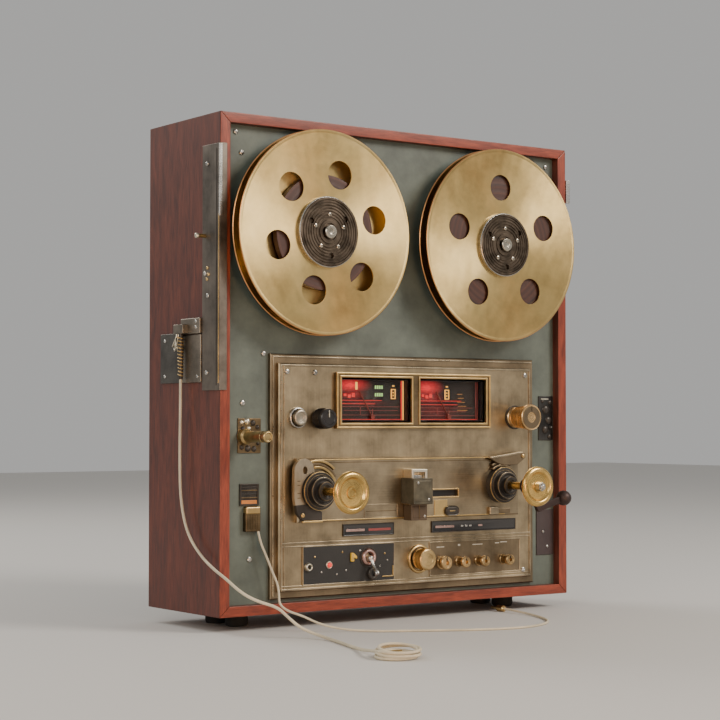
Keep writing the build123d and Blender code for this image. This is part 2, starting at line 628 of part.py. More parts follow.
def make_inside():
    motors = []
    places = [(s * REEL_X, REEL_Z, MOTOR_R, MOTOR_L, SPINDLE_R) for s in (-1, 1)]
    places.append((*POSTS["capstan"], CAPSTAN_MOTOR_R, CAPSTAN_MOTOR_L, POST_R))
    for x, z, r, length, shaft_r in places:
        motor = rod(x, z, r, FACE_BACK, FACE_BACK + length)
        motors.append(motor - rod(x, z, shaft_r + SHAFT_GAP, FACE_BACK, FACE_BACK + length - SHAFT_SHORT + 1))
    put("drive_motors", join(*motors))

    back, floor = CAB_D - BACK_T, IN_Z[0]
    core = block(TRANSFORMER_X, (back - TRANSFORMER_D[0], back - TRANSFORMER_D[1]), (floor, floor + TRANSFORMER_H))
    winding = block(WINDING_X, (back - WINDING_D[0], back - WINDING_D[1]), (floor + WINDING_Z[0], floor + WINDING_Z[1]))
    put("transformer", core + winding)

    rear = back - BOARD_OFF
    board = block(BOARD_X, (rear - BOARD_T, rear), BOARD_Z)
    dx, dz = BOARD_POST_IN
    for px in (BOARD_X[0] + dx, BOARD_X[1] - dx):
        for pz in (BOARD_Z[0] + dz, BOARD_Z[1] - dz):
            board = board + rod(px, pz, BOARD_POST_R, rear, back)
    front = rear - BOARD_T
    cap_x, cap_z, cap_r, cap_l = CAPACITORS
    for px in cap_x:
        board = board + rod(px, cap_z, cap_r, front - cap_l, front)
    chip_x, chip_w, chip_z, chip_t = CHIPS
    for px in chip_x:
        board = board + block((px, px + chip_w), (front - chip_t, front), chip_z)
    put("circuit_board", board)


# ---------------------------------------------------------------- side fittings

def make_side():
    x = -CAB_W / 2
    z = (SIDE_PLATE_LOW, CAB_H - SIDE_PLATE_TOP_GAP)
    lap = block((x - SIDE_PLATE_T, x + SIDE_LAP), (SIDE_PLATE_Y[0], 0), z)
    put("side_plate", block((x - SIDE_PLATE_T, x), SIDE_PLATE_Y, z) + lap)

    bracket = block((x - EYE_OUT, x), EYE_Y, EYE_Z)
    for y, z, out in (BRACKET_WING, BRACKET_BOX, BRACKET_LID):
        bracket = bracket + block((x - out, x), y, z)
    eye = Pos(CORD_X, CORD_Y, sum(EYE_Z) / 2) * Cylinder(NECK_R + SHAFT_GAP, EYE_Z[1] - EYE_Z[0])
    put("cord_bracket", bracket - eye)

    surface = x - SIDE_PLATE_T
    screw_r, screw_t = SIDE_SCREW
    peg_r, peg_l = PEG_SIZE
    studs = [(y, z, screw_r, screw_t) for y, z in SIDE_SCREWS] + [(*PEG_AT, peg_r, peg_l)]
    studs = [Pos(surface - out / 2, y, z) * Rot(0, 90, 0) * Cylinder(r, out) for y, z, r, out in studs]
    side_wall, front_wall, end_wall = CLIP_WALL
    clip = block((-x, -x + CLIP_OUT), CLIP_Y, CLIP_Z)
    gap_z = (CLIP_Z[0] + end_wall, CLIP_Z[1] - end_wall)
    clip = clip - block((-x + side_wall, -x + CLIP_OUT), (CLIP_Y[0] + front_wall, CLIP_Y[1]), gap_z)
    put("side_fittings", join(*studs, clip))


def make_strain_relief():
    """A coiled sleeve that tapers round the cord, hung under the bracket's eye."""
    profile = [(0, EYE_Z[1]), (NECK_R, EYE_Z[1]), (NECK_R, EYE_Z[0])]
    first, taper, groove = SLEEVE_R
    for i in range(SLEEVE_RINGS):
        z, r = EYE_Z[0] - SLEEVE_PITCH * i, first - taper * i
        profile += [(r, z - 0.6), (r, z - 3.0), (r - groove, z - 3.6), (r - groove, z - 4.4)]
    profile += [SLEEVE_END, (0, SLEEVE_END[1])]
    outline = make_face(Polyline([(r, 0, z) for r, z in profile], close=True))
    sleeve = revolve(outline, Axis.Z, 360)
    return Pos(CORD_X, CORD_Y, 0) * sleeve


def rounded_path(points):
    """Straight runs joined by arcs as large as their runs allow; returns the path and the radii."""
    radii = []
    for a, b, c in zip(points, points[1:], points[2:]):
        u, v = Vector(*b) - Vector(*a), Vector(*c) - Vector(*b)
        half = math.radians(u.get_angle(v)) / 2
        radii.append(0.45 * min(u.length, v.length) / math.tan(half))
    return FilletPolyline(*[Vector(*p) for p in points], radius=radii), radii


def tube(points, r):
    route = [(x, y, z - FOOT_H) for x, y, z in points]
    path, radii = rounded_path(route)
    section = Plane(path @ 0, z_dir=path % 0) * Circle(r)
    solid = sweep(section, path)
    whole = math.pi * r * r * path.length
    print(f"tube: length {path.length:.1f}, least radius {min(radii):.1f}, volume {solid.volume / whole:.4f} of its section")
    return solid


def make_cords():
    put("strain_relief", make_strain_relief())
    put("side_cord", tube(CORD_ROUTE, CORD_R))
    x, y = COIL_AT
    z = COIL_H / 2 - FOOT_H
    put("cord_coil", Pos(x, y, z) * (Cylinder(COIL_R[1], COIL_H) - Cylinder(COIL_R[0], COIL_H)))
    plug = Pos(x + COIL_PLUG_OFF[0], y + COIL_PLUG_OFF[1], CABLE_PLUG_R - FOOT_H) * (Rot(0, 90, 0) * Cylinder(CABLE_PLUG_R, COIL_PLUG_L))
    put("cord_plug", plug)
    put("front_wire", tube(WIRE_ROUTE, WIRE_R))
    wx, wy, wz = WIRE_ROUTE[-1]
    put("wire_plug", Pos(wx, wy + WIRE_PLUG_L / 2, wz - FOOT_H) * (Rot(90, 0, 0) * Cylinder(CABLE_PLUG_R, WIRE_PLUG_L)))
    plug = block(FRONT_PLUG_X, (FRONT_PLUG_Y, FACE_RECESS), FRONT_PLUG_Z)
    put("front_plug", softened(plug, FRONT_PLUG_EDGE, front_edges(FRONT_PLUG_Y)))


os.makedirs("parts", exist_ok=True)
make_cabinet()
make_back()
make_plates()
make_meters()
make_head()
make_posts()
make_controls()
make_strips()
make_reel("supply", -1)
make_reel("takeup", 1)
make_inside()
make_side()
make_cords()
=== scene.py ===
import math

import bpy
from mathutils import Matrix, Vector


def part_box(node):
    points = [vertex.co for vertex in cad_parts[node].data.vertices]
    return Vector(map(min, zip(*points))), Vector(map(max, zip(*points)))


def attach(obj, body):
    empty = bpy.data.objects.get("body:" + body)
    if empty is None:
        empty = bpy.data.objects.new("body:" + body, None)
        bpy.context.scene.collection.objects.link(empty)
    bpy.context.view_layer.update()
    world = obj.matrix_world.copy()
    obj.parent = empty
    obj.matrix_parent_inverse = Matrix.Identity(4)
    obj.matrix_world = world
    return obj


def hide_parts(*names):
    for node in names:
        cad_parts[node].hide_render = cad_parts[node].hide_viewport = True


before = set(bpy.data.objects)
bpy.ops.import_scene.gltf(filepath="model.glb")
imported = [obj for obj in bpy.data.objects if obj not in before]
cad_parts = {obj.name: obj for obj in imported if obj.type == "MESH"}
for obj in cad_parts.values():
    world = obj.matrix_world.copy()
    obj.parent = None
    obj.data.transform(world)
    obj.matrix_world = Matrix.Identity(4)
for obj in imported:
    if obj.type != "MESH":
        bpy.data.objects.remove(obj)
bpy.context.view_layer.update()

# ------------------------------------------------------------------ the deck's own measure
# Every place below is in deck millimetres, as a maker would measure it: x from the cabinet's centre line,
# y from the plane of its front edges towards the back, z from its underside. at() turns them into metres.

MM = 0.001
side_low, side_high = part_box("cabinet_left_side")
top_low, top_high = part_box("cabinet_top")
ORIGIN = Vector(((top_low.x + top_high.x) / 2, side_low.y, side_low.z))
FLOOR_Z = -ORIGIN.z / MM


def at(x, y, z):
    return ORIGIN + Vector((x, y, z)) * MM


def span(node):
    """A CAD node's (low, high) along x, y and z, in deck millimetres."""
    lo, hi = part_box(node)
    return [((a - o) / MM, (b - o) / MM) for a, b, o in zip(lo, hi, ORIGIN)]


def middle(pair):
    return (pair[0] + pair[1]) / 2


def grown(pair, by):
    return pair[0] - by, pair[1] + by


# ------------------------------------------------------------------ camera, light and floor

CAMERA_AT = (-988.2, -1303.9, 163.6)
CAMERA_YAW = math.radians(35.74)
CAMERA_PITCH = math.radians(1.94)
LENS = 91.1


def make_camera():
    data = bpy.data.cameras.new("camera")
    data.sensor_width, data.lens = 36, LENS
    data.clip_start, data.clip_end = 0.05, 30
    camera = bpy.data.objects.new("camera", data)
    bpy.context.scene.collection.objects.link(camera)
    level = math.cos(CAMERA_PITCH)
    aim = Vector((math.sin(CAMERA_YAW) * level, math.cos(CAMERA_YAW) * level, math.sin(CAMERA_PITCH)))
    camera.location = at(*CAMERA_AT)
    camera.rotation_euler = aim.to_track_quat("-Z", "Y").to_euler()
    bpy.context.scene.camera = camera


def soft_light(name, place, aim, size, power, colour):
    data = bpy.data.lights.new(name, "AREA")
    data.shape, data.size, data.energy, data.color = "DISK", size, power, colour
    lamp = bpy.data.objects.new(name, data)
    bpy.context.scene.collection.objects.link(lamp)
    lamp.location = place
    lamp.rotation_euler = (Vector(aim) - Vector(place)).to_track_quat("-Z", "Y").to_euler()


def make_studio():
    soft_light("key", (1.1, -1.7, 1.5), (0, 0, 0.2), 1.0, 42, (1.0, 0.93, 0.84))
    soft_light("fill", (-1.9, -1.2, 0.9), (0, 0, 0.2), 1.2, 15, (1.0, 0.92, 0.82))
    soft_light("bounce", (-0.35, -1.5, 0.06), (0, 0, 0.22), 0.5, 7, (1.0, 0.52, 0.22))
    soft_light("back", (-0.6, 1.8, 1.6), (0, 0, 0.25), 1.2, 22, (1.0, 0.97, 0.92))
    world = bpy.data.worlds.new("studio")
    bpy.context.scene.world = world
    world.use_nodes = True
    world.node_tree.nodes["Background"].inputs["Color"].default_value = (0.80, 0.79, 0.77, 1)
    world.node_tree.nodes["Background"].inputs["Strength"].default_value = 0.55
    bpy.context.scene.view_settings.view_transform = "AgX"
    clear()
    bpy.ops.mesh.primitive_plane_add(size=9, location=(0, 0, 0))
    floor = bpy.context.object
    floor.name = "floor"
    floor.data.materials.append(Finish("floor_paint", (0.62, 0.60, 0.57), 0.7).material)


# ------------------------------------------------------------------ modelling by hand

def clear():
    if bpy.context.mode != "OBJECT":
        bpy.ops.object.mode_set(mode="OBJECT")
    bpy.ops.object.select_all(action="DESELECT")


def take(piece):
    """Makes one piece the active and only selected object."""
    clear()
    piece.select_set(True)
    bpy.context.view_layer.objects.active = piece
    return piece


def edit(piece, select=True):
    """Edit mode on one piece, with everything or nothing selected."""
    take(piece)
    bpy.ops.object.mode_set(mode="EDIT")
    bpy.ops.mesh.select_mode(type="VERT")
    bpy.ops.mesh.select_all(action="SELECT" if select else "DESELECT")


def leave():
    bpy.ops.object.mode_set(mode="OBJECT")


def named(name):
    piece = bpy.context.object
    piece.name = piece.data.name = name
    bpy.ops.object.transform_apply(location=True, rotation=True, scale=True)
    return piece


def cube(name, x, y, z):
    clear()
    size = [(pair[1] - pair[0]) * MM for pair in (x, y, z)]
    bpy.ops.mesh.primitive_cube_add(size=1, location=at(middle(x), middle(y), middle(z)), scale=size)
    return named(name)


TURNS = {"X": (0, math.pi / 2, 0), "Y": (math.pi / 2, 0, 0), "Z": (0, 0, 0)}


def rod(name, centre, radius, length, axis="Y", sides=48):
    clear()
    bpy.ops.mesh.primitive_cylinder_add(
        vertices=sides, radius=radius * MM, depth=length * MM, location=at(*centre), rotation=TURNS[axis])
    return named(name)


def turned(name, centre, profile, axis="Y", steps=72):
    """A lathe piece: one vertex is extruded along the profile of (radius, place on the axis) and spun."""
    out = Vector((1, 0, 0)) if axis != "X" else Vector((0, 0, 1))
    along = Vector([1 if a == axis else 0 for a in "XYZ"])
    points = [out * r + along * s for r, s in profile]
    clear()
    bpy.ops.mesh.primitive_plane_add(size=MM, location=at(*(Vector(centre) + points[0])))
    piece = named(name)
    edit(piece)
    bpy.ops.mesh.merge(type="CENTER")
    for a, b in zip(points, points[1:]):
        bpy.ops.mesh.extrude_region_move(TRANSFORM_OT_translate={"value": (b - a) * MM})
    bpy.ops.mesh.select_all(action="SELECT")
    bpy.ops.mesh.spin(steps=steps, angle=2 * math.pi, center=at(*centre), axis=along)
    bpy.ops.mesh.select_all(action="SELECT")
    bpy.ops.mesh.remove_doubles(threshold=0.004 * MM)
    bpy.ops.mesh.normals_make_consistent(inside=False)
    leave()
    return piece


def hoop(name, centre, profile, axis="Y", steps=72):
    """A lathe piece open in the middle: its profile comes back to its first point."""
    return turned(name, centre, [*profile, profile[0]], axis, steps)


def band(name, centre, radii, along, steps=72):
    """A plain ring about y, between two radii and two places on its axis."""
    (inner, outer), (first, last) = radii, along
    return hoop(name, centre, [(inner, first), (outer, first), (outer, last), (inner, last)], steps=steps)


def outline(name, points, y0, y1):
    """A flat shape drawn in x and z as (x, z) points, then extruded along y."""
    clear()
    bpy.ops.mesh.primitive_plane_add(size=MM, location=at(points[0][0], y0, points[0][1]))
    piece = named(name)
    edit(piece)
    bpy.ops.mesh.merge(type="CENTER")
    for a, b in zip(points, points[1:]):
        move = Vector((b[0] - a[0], 0, b[1] - a[1])) * MM
        bpy.ops.mesh.extrude_region_move(TRANSFORM_OT_translate={"value": move})
    bpy.ops.mesh.select_all(action="SELECT")
    bpy.ops.mesh.edge_face_add()
    bpy.ops.mesh.extrude_region_move(TRANSFORM_OT_translate={"value": (0, (y1 - y0) * MM, 0)})
    bpy.ops.mesh.select_all(action="SELECT")
    bpy.ops.mesh.normals_make_consistent(inside=False)
    leave()
    return piece


def modify(piece, kind, **settings):
    take(piece)
    modifier = piece.modifiers.new(kind.lower(), kind)
    for key, value in settings.items():
        setattr(modifier, key, value)
    bpy.ops.object.modifier_apply(modifier=modifier.name)
    return piece


def carve(piece, *tools, how="DIFFERENCE"):
    for tool in tools:
        modify(piece, "BOOLEAN", object=tool, operation=how, solver="EXACT")
        bpy.data.objects.remove(tool)
    return piece


def rounded(piece, width, segments=2, angle=32):
    modify(piece, "BEVEL", width=width * MM, segments=segments, limit_method="ANGLE",
           angle_limit=math.radians(angle), use_clamp_overlap=True)
    smooth(piece)
    return modify(piece, "WEIGHTED_NORMAL", mode="FACE_AREA", weight=80, keep_sharp=True)


def smooth(piece, angle=35):
    take(piece)
    bpy.ops.object.shade_smooth_by_angle(angle=math.radians(angle))
    return piece


def joined(name, pieces):
    clear()
    for piece in pieces:
        piece.select_set(True)
    bpy.context.view_layer.objects.active = pieces[0]
    bpy.ops.object.join()
    pieces[0].name = pieces[0].data.name = name
    return pieces[0]


def spun_round(piece, centre, angle, axis="Y"):
    """Turns a finished piece about an axis through a point, in degrees, and settles it."""
    take(piece)
    turn = Vector([1 if a == axis else 0 for a in "XYZ"])
    pivot = at(*centre)
    spin = Matrix.Rotation(math.radians(angle), 4, turn)
    piece.matrix_world = Matrix.Translation(pivot) @ spin @ Matrix.Translation(-pivot) @ piece.matrix_world
    bpy.ops.object.transform_apply(location=True, rotation=True, scale=True)
    return piece


def pick_faces(piece, wanted):
    """Edit mode with only the faces that wanted(centre, normal) picks; the centre is in deck millimetres."""
    edit(piece, select=False)
    bpy.ops.mesh.select_mode(type="FACE")
    leave()
    for face in piece.data.polygons:
        face.select = bool(wanted((face.center - ORIGIN) / MM, face.normal))
    bpy.ops.object.mode_set(mode="EDIT")


def knurled(piece, wanted, inset=0.18, depth=0.35):
    """Cuts a shallow flute into each face picked."""
    pick_faces(piece, wanted)
    bpy.ops.mesh.inset(thickness=inset * MM, use_individual=True)
    bpy.ops.transform.shrink_fatten(value=-depth * MM)
    leave()
    return piece


def keep(piece, finish, body="deck", stands_for=(), slot=None):
    """Gives a finished piece its material, its body and the CAD nodes that it stands for."""
    piece.data.materials.clear()
    piece.data.materials.append(finish.material)
    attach(piece, body)
    if stands_for:
        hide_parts(*stands_for)
    return piece


def refinish(node, finish):
    """Gives a CAD node that stays in view a finer material."""
    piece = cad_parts[node]
    piece.data.materials.clear()
    piece.data.materials.append(finish.material)


# ------------------------------------------------------------------ finishes

class Finish:
    """A procedural material: one Principled shader and the nodes that feed it."""

    def __init__(self, name, colour, roughness=0.5, metallic=0.0, **more):
        self.material = bpy.data.materials.new(name)
        self.material.use_nodes = True
        self.tree = self.material.node_tree
        self.shader = self.tree.nodes["Principled BSDF"]
        first = {"Base Color": (*colour, 1), "Roughness": roughness, "Metallic": metallic}
        self.feed(self.shader, {**first, **{key.replace("_", " "): value for key, value in more.items()}})

    def feed(self, node, inputs):
        for key, value in inputs.items():
            if isinstance(value, bpy.types.NodeSocket):
                self.tree.links.new(value, node.inputs[key])
            else:
                node.inputs[key].default_value = value

    def node(self, kind, inputs, **settings):
        made = self.tree.nodes.new("ShaderNode" + kind)
        for key, value in settings.items():
            setattr(made, key, value)
        self.feed(made, inputs)
        return made

    def place(self, centre=(0, 0, 0), size=(1, 1, 1), turn=(0, 0, 0)):
        """Object coordinates from a centre in deck millimetres, divided by a feature's size."""
        coordinates = self.node("TexCoord", {}).outputs["Object"]
        sizes = [s * MM for s in size]
        inputs = {"Vector": coordinates, "Location": at(*centre), "Rotation": turn, "Scale": sizes}
        mapping = self.node("Mapping", inputs, vector_type="TEXTURE")
        return mapping.outputs["Vector"]

    def noise(self, vector, scale=1.0, detail=4.0, roughness=0.55, distortion=0.0):
        inputs = {"Vector": vector, "Scale": scale, "Detail": detail, "Roughness": roughness,
            "Distortion": distortion}
        return self.node("TexNoise", inputs).outputs["Fac"]

    def radius(self, centre):
        """Distance from an axis along y, in millimetres."""
        flat = self.node("VectorMath", {0: self.place(centre), 1: (1, 0, 1)}, operation="MULTIPLY").outputs[0]
        return self.node("VectorMath", {0: flat}, operation="LENGTH").outputs["Value"]

    def rings(self, centre, spacing, detail=3.0):
        """Fine turning marks about an axis along y."""
        radius = self.node("Math", {0: self.radius(centre), 1: spacing}, operation="DIVIDE").outputs[0]
        inputs = {"W": radius, "Scale": 1.0, "Detail": detail}
        return self.node("TexNoise", inputs, noise_dimensions="1D").outputs["Fac"]

    def ramp(self, value, *stops):
        made = self.node("ValToRGB", {"Fac": value})
        points = made.color_ramp.elements
        while len(points) < len(stops):
            points.new(0.5)
        for point, (place, colour) in zip(points, stops):
            point.position = place
            point.color = (*colour, 1) if hasattr(colour, "__len__") else (colour, colour, colour, 1)
        return made.outputs["Color"]

    def mix(self, share, a, b, blend="MIX"):
        made = self.node("Mix", {}, data_type="RGBA", blend_type=blend)
        for index, value in ((0, share), (6, a), (7, b)):
            if isinstance(value, bpy.types.NodeSocket):
                self.tree.links.new(value, made.inputs[index])
            else:
                made.inputs[index].default_value = (*value, 1) if hasattr(value, "__len__") else value
        return made.outputs[2]

    def ranged(self, value, low, high, start=0.0, end=1.0):
        inputs = {"Value": value, "From Min": start, "From Max": end, "To Min": low, "To Max": high}
        return self.node("MapRange", inputs).outputs["Result"]

    def colour(self, socket):
        self.feed(self.shader, {"Base Color": socket})
        return self

    def rough(self, socket):
        self.feed(self.shader, {"Roughness": socket})
        return self

    def spun(self, centre, amount):
        """Gloss drawn out across turning marks that run round an axis along y."""
        around = self.node("VectorMath", {0: self.place(centre), 1: (0, 1, 0)},
            operation="CROSS_PRODUCT").outputs[0]
        turn = self.node("VectorTransform", {"Vector": around}, vector_type="VECTOR", convert_from="OBJECT",
            convert_to="WORLD")
        self.feed(self.shader, {"Tangent": turn.outputs[0], "Anisotropic": amount})

    def bump(self, height, depth=0.05, strength=1.0, under=None):
        inputs = {"Height": height, "Distance": depth * MM, "Strength": strength}
        if under is not None:
            inputs["Normal"] = under
        normal = self.node("Bump", inputs).outputs["Normal"]
        self.feed(self.shader, {"Normal": normal})
        return normal


def wood(name, grain, dark, light, gloss=0.34):
    """Lacquered mahogany with its grain along one axis."""
    sizes = {"X": (60, 9, 9), "Y": (9, 60, 9), "Z": (9, 9, 60)}[grain]
    fine = {"X": (14, 0.5, 0.5), "Y": (0.5, 14, 0.5), "Z": (0.5, 0.5, 14)}[grain]
    made = Finish(name, light, gloss, Coat_Weight=0.12, Coat_Roughness=0.2)
    bands = made.noise(made.place(size=sizes), 1.6, 6, 0.6, 0.8)
    pores = made.noise(made.place(size=fine), 1.0, 3, 0.6)
    body = made.ramp(bands, (0.3, dark), (0.52, [0.5 * (a + b) for a, b in zip(dark, light)]), (0.72, light))
    streak = made.ramp(pores, (0.35, (0.42, 0.36, 0.34)), (0.6, (1, 1, 1)))
    made.colour(made.mix(0.75, body, streak, "MULTIPLY"))
    made.rough(made.ranged(bands, gloss - 0.08, gloss + 0.14))
    made.bump(pores, 0.03, 0.5)
    return made


def brushed(name, colour, along=(90, 1, 0.35), roughness=0.34, tone=0.12):
    """Metal brushed along one direction, with slow patches of tarnish."""
    made = Finish(name, colour, roughness, 1.0)
    lines = made.noise(made.place(size=along), 1.0, 5, 0.7)
    patches = made.noise(made.place(size=(38, 38, 38)), 1.0, 5, 0.6)
    darker = [c * (1 - 3.2 * tone) for c in colour]
    lighter = [min(1, c * (1 + tone)) for c in colour]
    body = made.ramp(patches, (0.34, darker), (0.62, lighter))
    streaks = made.ramp(lines, (0.25, 1 - 2 * tone), (0.75, 1.0))
    made.colour(made.mix(1.0, body, streaks, "MULTIPLY"))
    made.rough(made.ranged(lines, roughness - 0.08, roughness + 0.16))
    made.bump(lines, 0.02, 0.35)
    return made


def turned_metal(name, colour, centre, roughness=0.26, tone=0.12, spacing=0.35):
    """Metal with fine rings about its own axis and a little tarnish."""
    made = Finish(name, colour, roughness, 1.0)
    rings = made.rings(centre, spacing)
    patches = made.noise(made.place(size=(11, 11, 11)), 1.0, 4, 0.6)
    darker = [c * (1 - 3.0 * tone) for c in colour]
    body = made.ramp(patches, (0.35, darker), (0.6, colour))
    streaks = made.ramp(rings, (0.25, 1 - 1.6 * tone), (0.75, 1.0))
    made.colour(made.mix(1.0, body, streaks, "MULTIPLY"))
    made.rough(made.ranged(rings, roughness - 0.06, roughness + 0.14))
    made.bump(rings, 0.02, 0.4)
    return made


def painted(name, colour, roughness=0.45, grain=0.6, depth=0.03, metallic=0.0, tone=0.25, patch=22):
    """Paint or moulded plastic with a fine skin and slow changes of tone."""
    made = Finish(name, colour, roughness, metallic)
    skin = made.noise(made.place(size=(grain, grain, grain)), 1.0, 3, 0.6)
    patches = made.noise(made.place(size=(patch, patch, patch)), 1.0, 5, 0.6)
    darker = [c * (1 - tone) for c in colour]
    lighter = [min(1, c * (1 + tone * 0.6)) for c in colour]
    made.colour(made.ramp(patches, (0.32, darker), (0.68, lighter)))
    made.rough(made.ranged(patches, roughness - 0.06, roughness + 0.10))
    made.bump(skin, depth, 0.6)
    return made


def glowing(name, colour, light, strength):
    """A lit lamp or printed mark seen through backlight."""
    made = Finish(name, colour, 0.3)
    made.feed(made.shader, {"Emission Color": (*light, 1), "Emission Strength": strength})
    return made


MAHOGANY = {
    "sides": wood("mahogany_sides", "Z", (0.070, 0.014, 0.008), (0.190, 0.046, 0.024), 0.46),
    "level": wood("mahogany_level", "X", (0.070, 0.015, 0.009), (0.200, 0.050, 0.026), 0.42),
    # the two woods below are the same mahogany made lighter and redder: painted light for the boards' front
    # faces
    "lit_front_up": wood("mahogany_lit_front_up", "Z", (0.16, 0.026, 0.012), (0.38, 0.068, 0.028), 0.34),
    "lit_front_level": wood("mahogany_lit_front_level", "X", (0.16, 0.026, 0.012), (0.38, 0.068, 0.028), 0.34),
}
ENAMEL = painted("grey_green_enamel", (0.112, 0.134, 0.112), 0.46, 0.8, 0.02, tone=0.35, patch=34)
NICKEL = brushed("warm_nickel", (0.47, 0.37, 0.235), (0.6, 1, 40), 0.33, 0.14)
NICKEL_DARK = brushed("dark_nickel", (0.27, 0.205, 0.13), (0.6, 1, 40), 0.38)
COVER_METAL = brushed("head_cover_nickel", (0.44, 0.35, 0.23), (40, 1, 0.6), 0.28, 0.14)
BRASS = brushed("satin_brass", (0.72, 0.50, 0.22), (30, 30, 0.4), 0.28)
STEEL = brushed("bright_steel", (0.60, 0.58, 0.54), (8, 8, 0.3), 0.24)
ALUMINIUM = brushed("satin_aluminium", (0.50, 0.42, 0.31), (0.35, 20, 20), 0.36)
DARK_STEEL = brushed("dark_steel", (0.10, 0.095, 0.09), (0.4, 1, 60), 0.36, 0.2)
GUNMETAL = painted("gunmetal", (0.060, 0.052, 0.045), 0.36, 0.4, 0.02, metallic=0.6)
BLACK_CRACKLE = painted("black_crackle", (0.020, 0.019, 0.018), 0.55, 1.1, 0.35)
BLACK_PLASTIC = painted("black_plastic", (0.016, 0.014, 0.014), 0.28, 0.5, 0.015)
RUBBER = painted("rubber", (0.018, 0.018, 0.018), 0.8, 0.5, 0.08)
OLIVE = painted("olive_paint", (0.092, 0.080, 0.052), 0.42, 0.5, 0.03, metallic=0.35, tone=0.4, patch=9)
COPPER = brushed("copper_rim", (0.86, 0.42, 0.17), (12, 12, 12), 0.3)
SIDE_STEEL = brushed("side_steel", (0.24, 0.205, 0.17), (40, 1.0, 60), 0.42, 0.16)
FIBRE = painted("fibre_board", (0.040, 0.034, 0.028), 0.75, 0.5, 0.12)
CREAM = painted("cream_sleeve", (0.66, 0.58, 0.42), 0.55, 0.7, 0.05, tone=0.18)
BRONZE = brushed("aged_bronze", (0.24, 0.17, 0.095), (60, 60, 0.5), 0.36, 0.2)
NICKEL_EDGE = brushed("worn_nickel_edge", (0.58, 0.47, 0.32), (30, 30, 30), 0.26, 0.18)
IVORY_METAL = brushed("ivory_metal", (0.82, 0.75, 0.60), (10, 10, 10), 0.28, 0.06)
ROSE_METAL = brushed("rose_metal", (0.72, 0.46, 0.40), (6, 6, 6), 0.25, 0.12)
LEVER_METAL = painted("lever_metal", (0.060, 0.040, 0.036), 0.46, 0.4, 0.02, metallic=0.7)
WING_STEEL = brushed("wing_steel", (0.15, 0.14, 0.125), (40, 6, 0.6), 0.45, 0.16)
BRACKET_STEEL = brushed("bracket_steel", (0.36, 0.31, 0.25), (40, 6, 0.6), 0.4, 0.16)
UMBER = painted("umber_paint", (0.095, 0.062, 0.036), 0.42, 0.5, 0.03, metallic=0.3)
PLUM = painted("plum_paint", (0.050, 0.034, 0.034), 0.5, 0.5, 0.03)
ORANGE_PAINT = painted("orange_paint", (0.62, 0.22, 0.05), 0.4)
AMBER_PAINT = painted("amber_paint", (0.80, 0.50, 0.06), 0.4)
PALE_INK = painted("pale_ink", (0.62, 0.58, 0.48), 0.5)
ROSE_INK = painted("rose_ink", (0.30, 0.06, 0.055), 0.5)
AMBER_INK = painted("amber_ink", (0.50, 0.25, 0.05), 0.5)
BOARD_GREEN = painted("board_green", (0.04, 0.16, 0.07), 0.5)
RED_LIGHT = glowing("red_light", (0.25, 0.01, 0.01), (1.0, 0.05, 0.04), 0.8)
AMBER_LIGHT = glowing("amber_light", (0.4, 0.2, 0.02), (1.0, 0.50, 0.10), 1.2)
GREEN_LIGHT = glowing("green_light", (0.10, 0.25, 0.05), (0.55, 0.85, 0.30), 0.9)
LAMP_RED = glowing("lamp_red", (0.5, 0.02, 0.02), (1.0, 0.06, 0.04), 0.8)
NEEDLE = painted("needle_red", (0.20, 0.03, 0.02), 0.4)
PANE = Finish("meter_pane", (1.0, 0.98, 0.95), 0.04, 0.0, Transmission_Weight=1.0, IOR=1.12)
SMOKED = Finish("smoked_window", (0.012, 0.010, 0.010), 0.12, 0.0, Coat_Weight=0.5)


# ------------------------------------------------------------------ cords

CORD_WIDE = 2.5
CORD_LENGTH = 0.86
WIRE_WIDE = 2.0
WIRE_LENGTH = 0.43
COIL_AT = (-167.1, -211.2)
COIL_OUTER = 17.0
COIL_INNER = 14.5
COIL_TURNS = 2
COIL_POINTS = 16
COIL_REAR = math.radians(54)

# route points: x, y and height above the floor, from the exit to the coil and from the plug to its end
CORD_ROUTE = [
    (-200, 55, 213), (-200, 55, 186), (-200, 56, 146), (-200, 54.5, 110),
    (-200, 44, 83), (-200, 24, 66), (-200.5, 0, 54.5), (-198, -16, 47.5),
    (-192, -30, 36.7), (-183.3, -40, 30), (-168.7, -50, 24.9), (-163.4, -56, 17.5),
    (-155.1, -62, 8.6), (-147.5, -71, 4), (-145.3, -91, 1.35), (-150.5, -111, 1.35),
    (-156.5, -130.3, 1.35), (-163, -153, 1.5), (-172, -174, 2.8), (-180, -193, 5.0),
    (-184.1, -211.2, 6.3),
]
WIRE_ROUTE = [
    (-153.5, 4, 83.6), (-152.6, 1.5, 74), (-149.5, -1.8, 64.4), (-144.4, -3, 51), (-139.6, -4.2, 40.4),
    (-138.3, -5.5, 31), (-140, -8, 22.5), (-136.5, -15, 17), (-126.6, -24, 13), (-117, -35, 6.5),
    (-103, -46, 2.4), (-86, -62, 1.1), (-62, -77, 1.1), (-34, -92, 1.1), (-4, -108, 1.1),
    (31, -118, 1.1), (63, -112, 1.1), (88, -94, 1.1), (103, -68, 1.1), (111, -42, 1.4),
    (113, -22, 2.2), (113, -4, 3.0),
]
COIL_TAIL = (
    (13.9, 205, 5.9), (13.2, 232, 5.2), (12.6, 262, 4.5), (12.0, 296, 3.8), (11.2, 330, 3.3), (9.8, 2, 3.0))


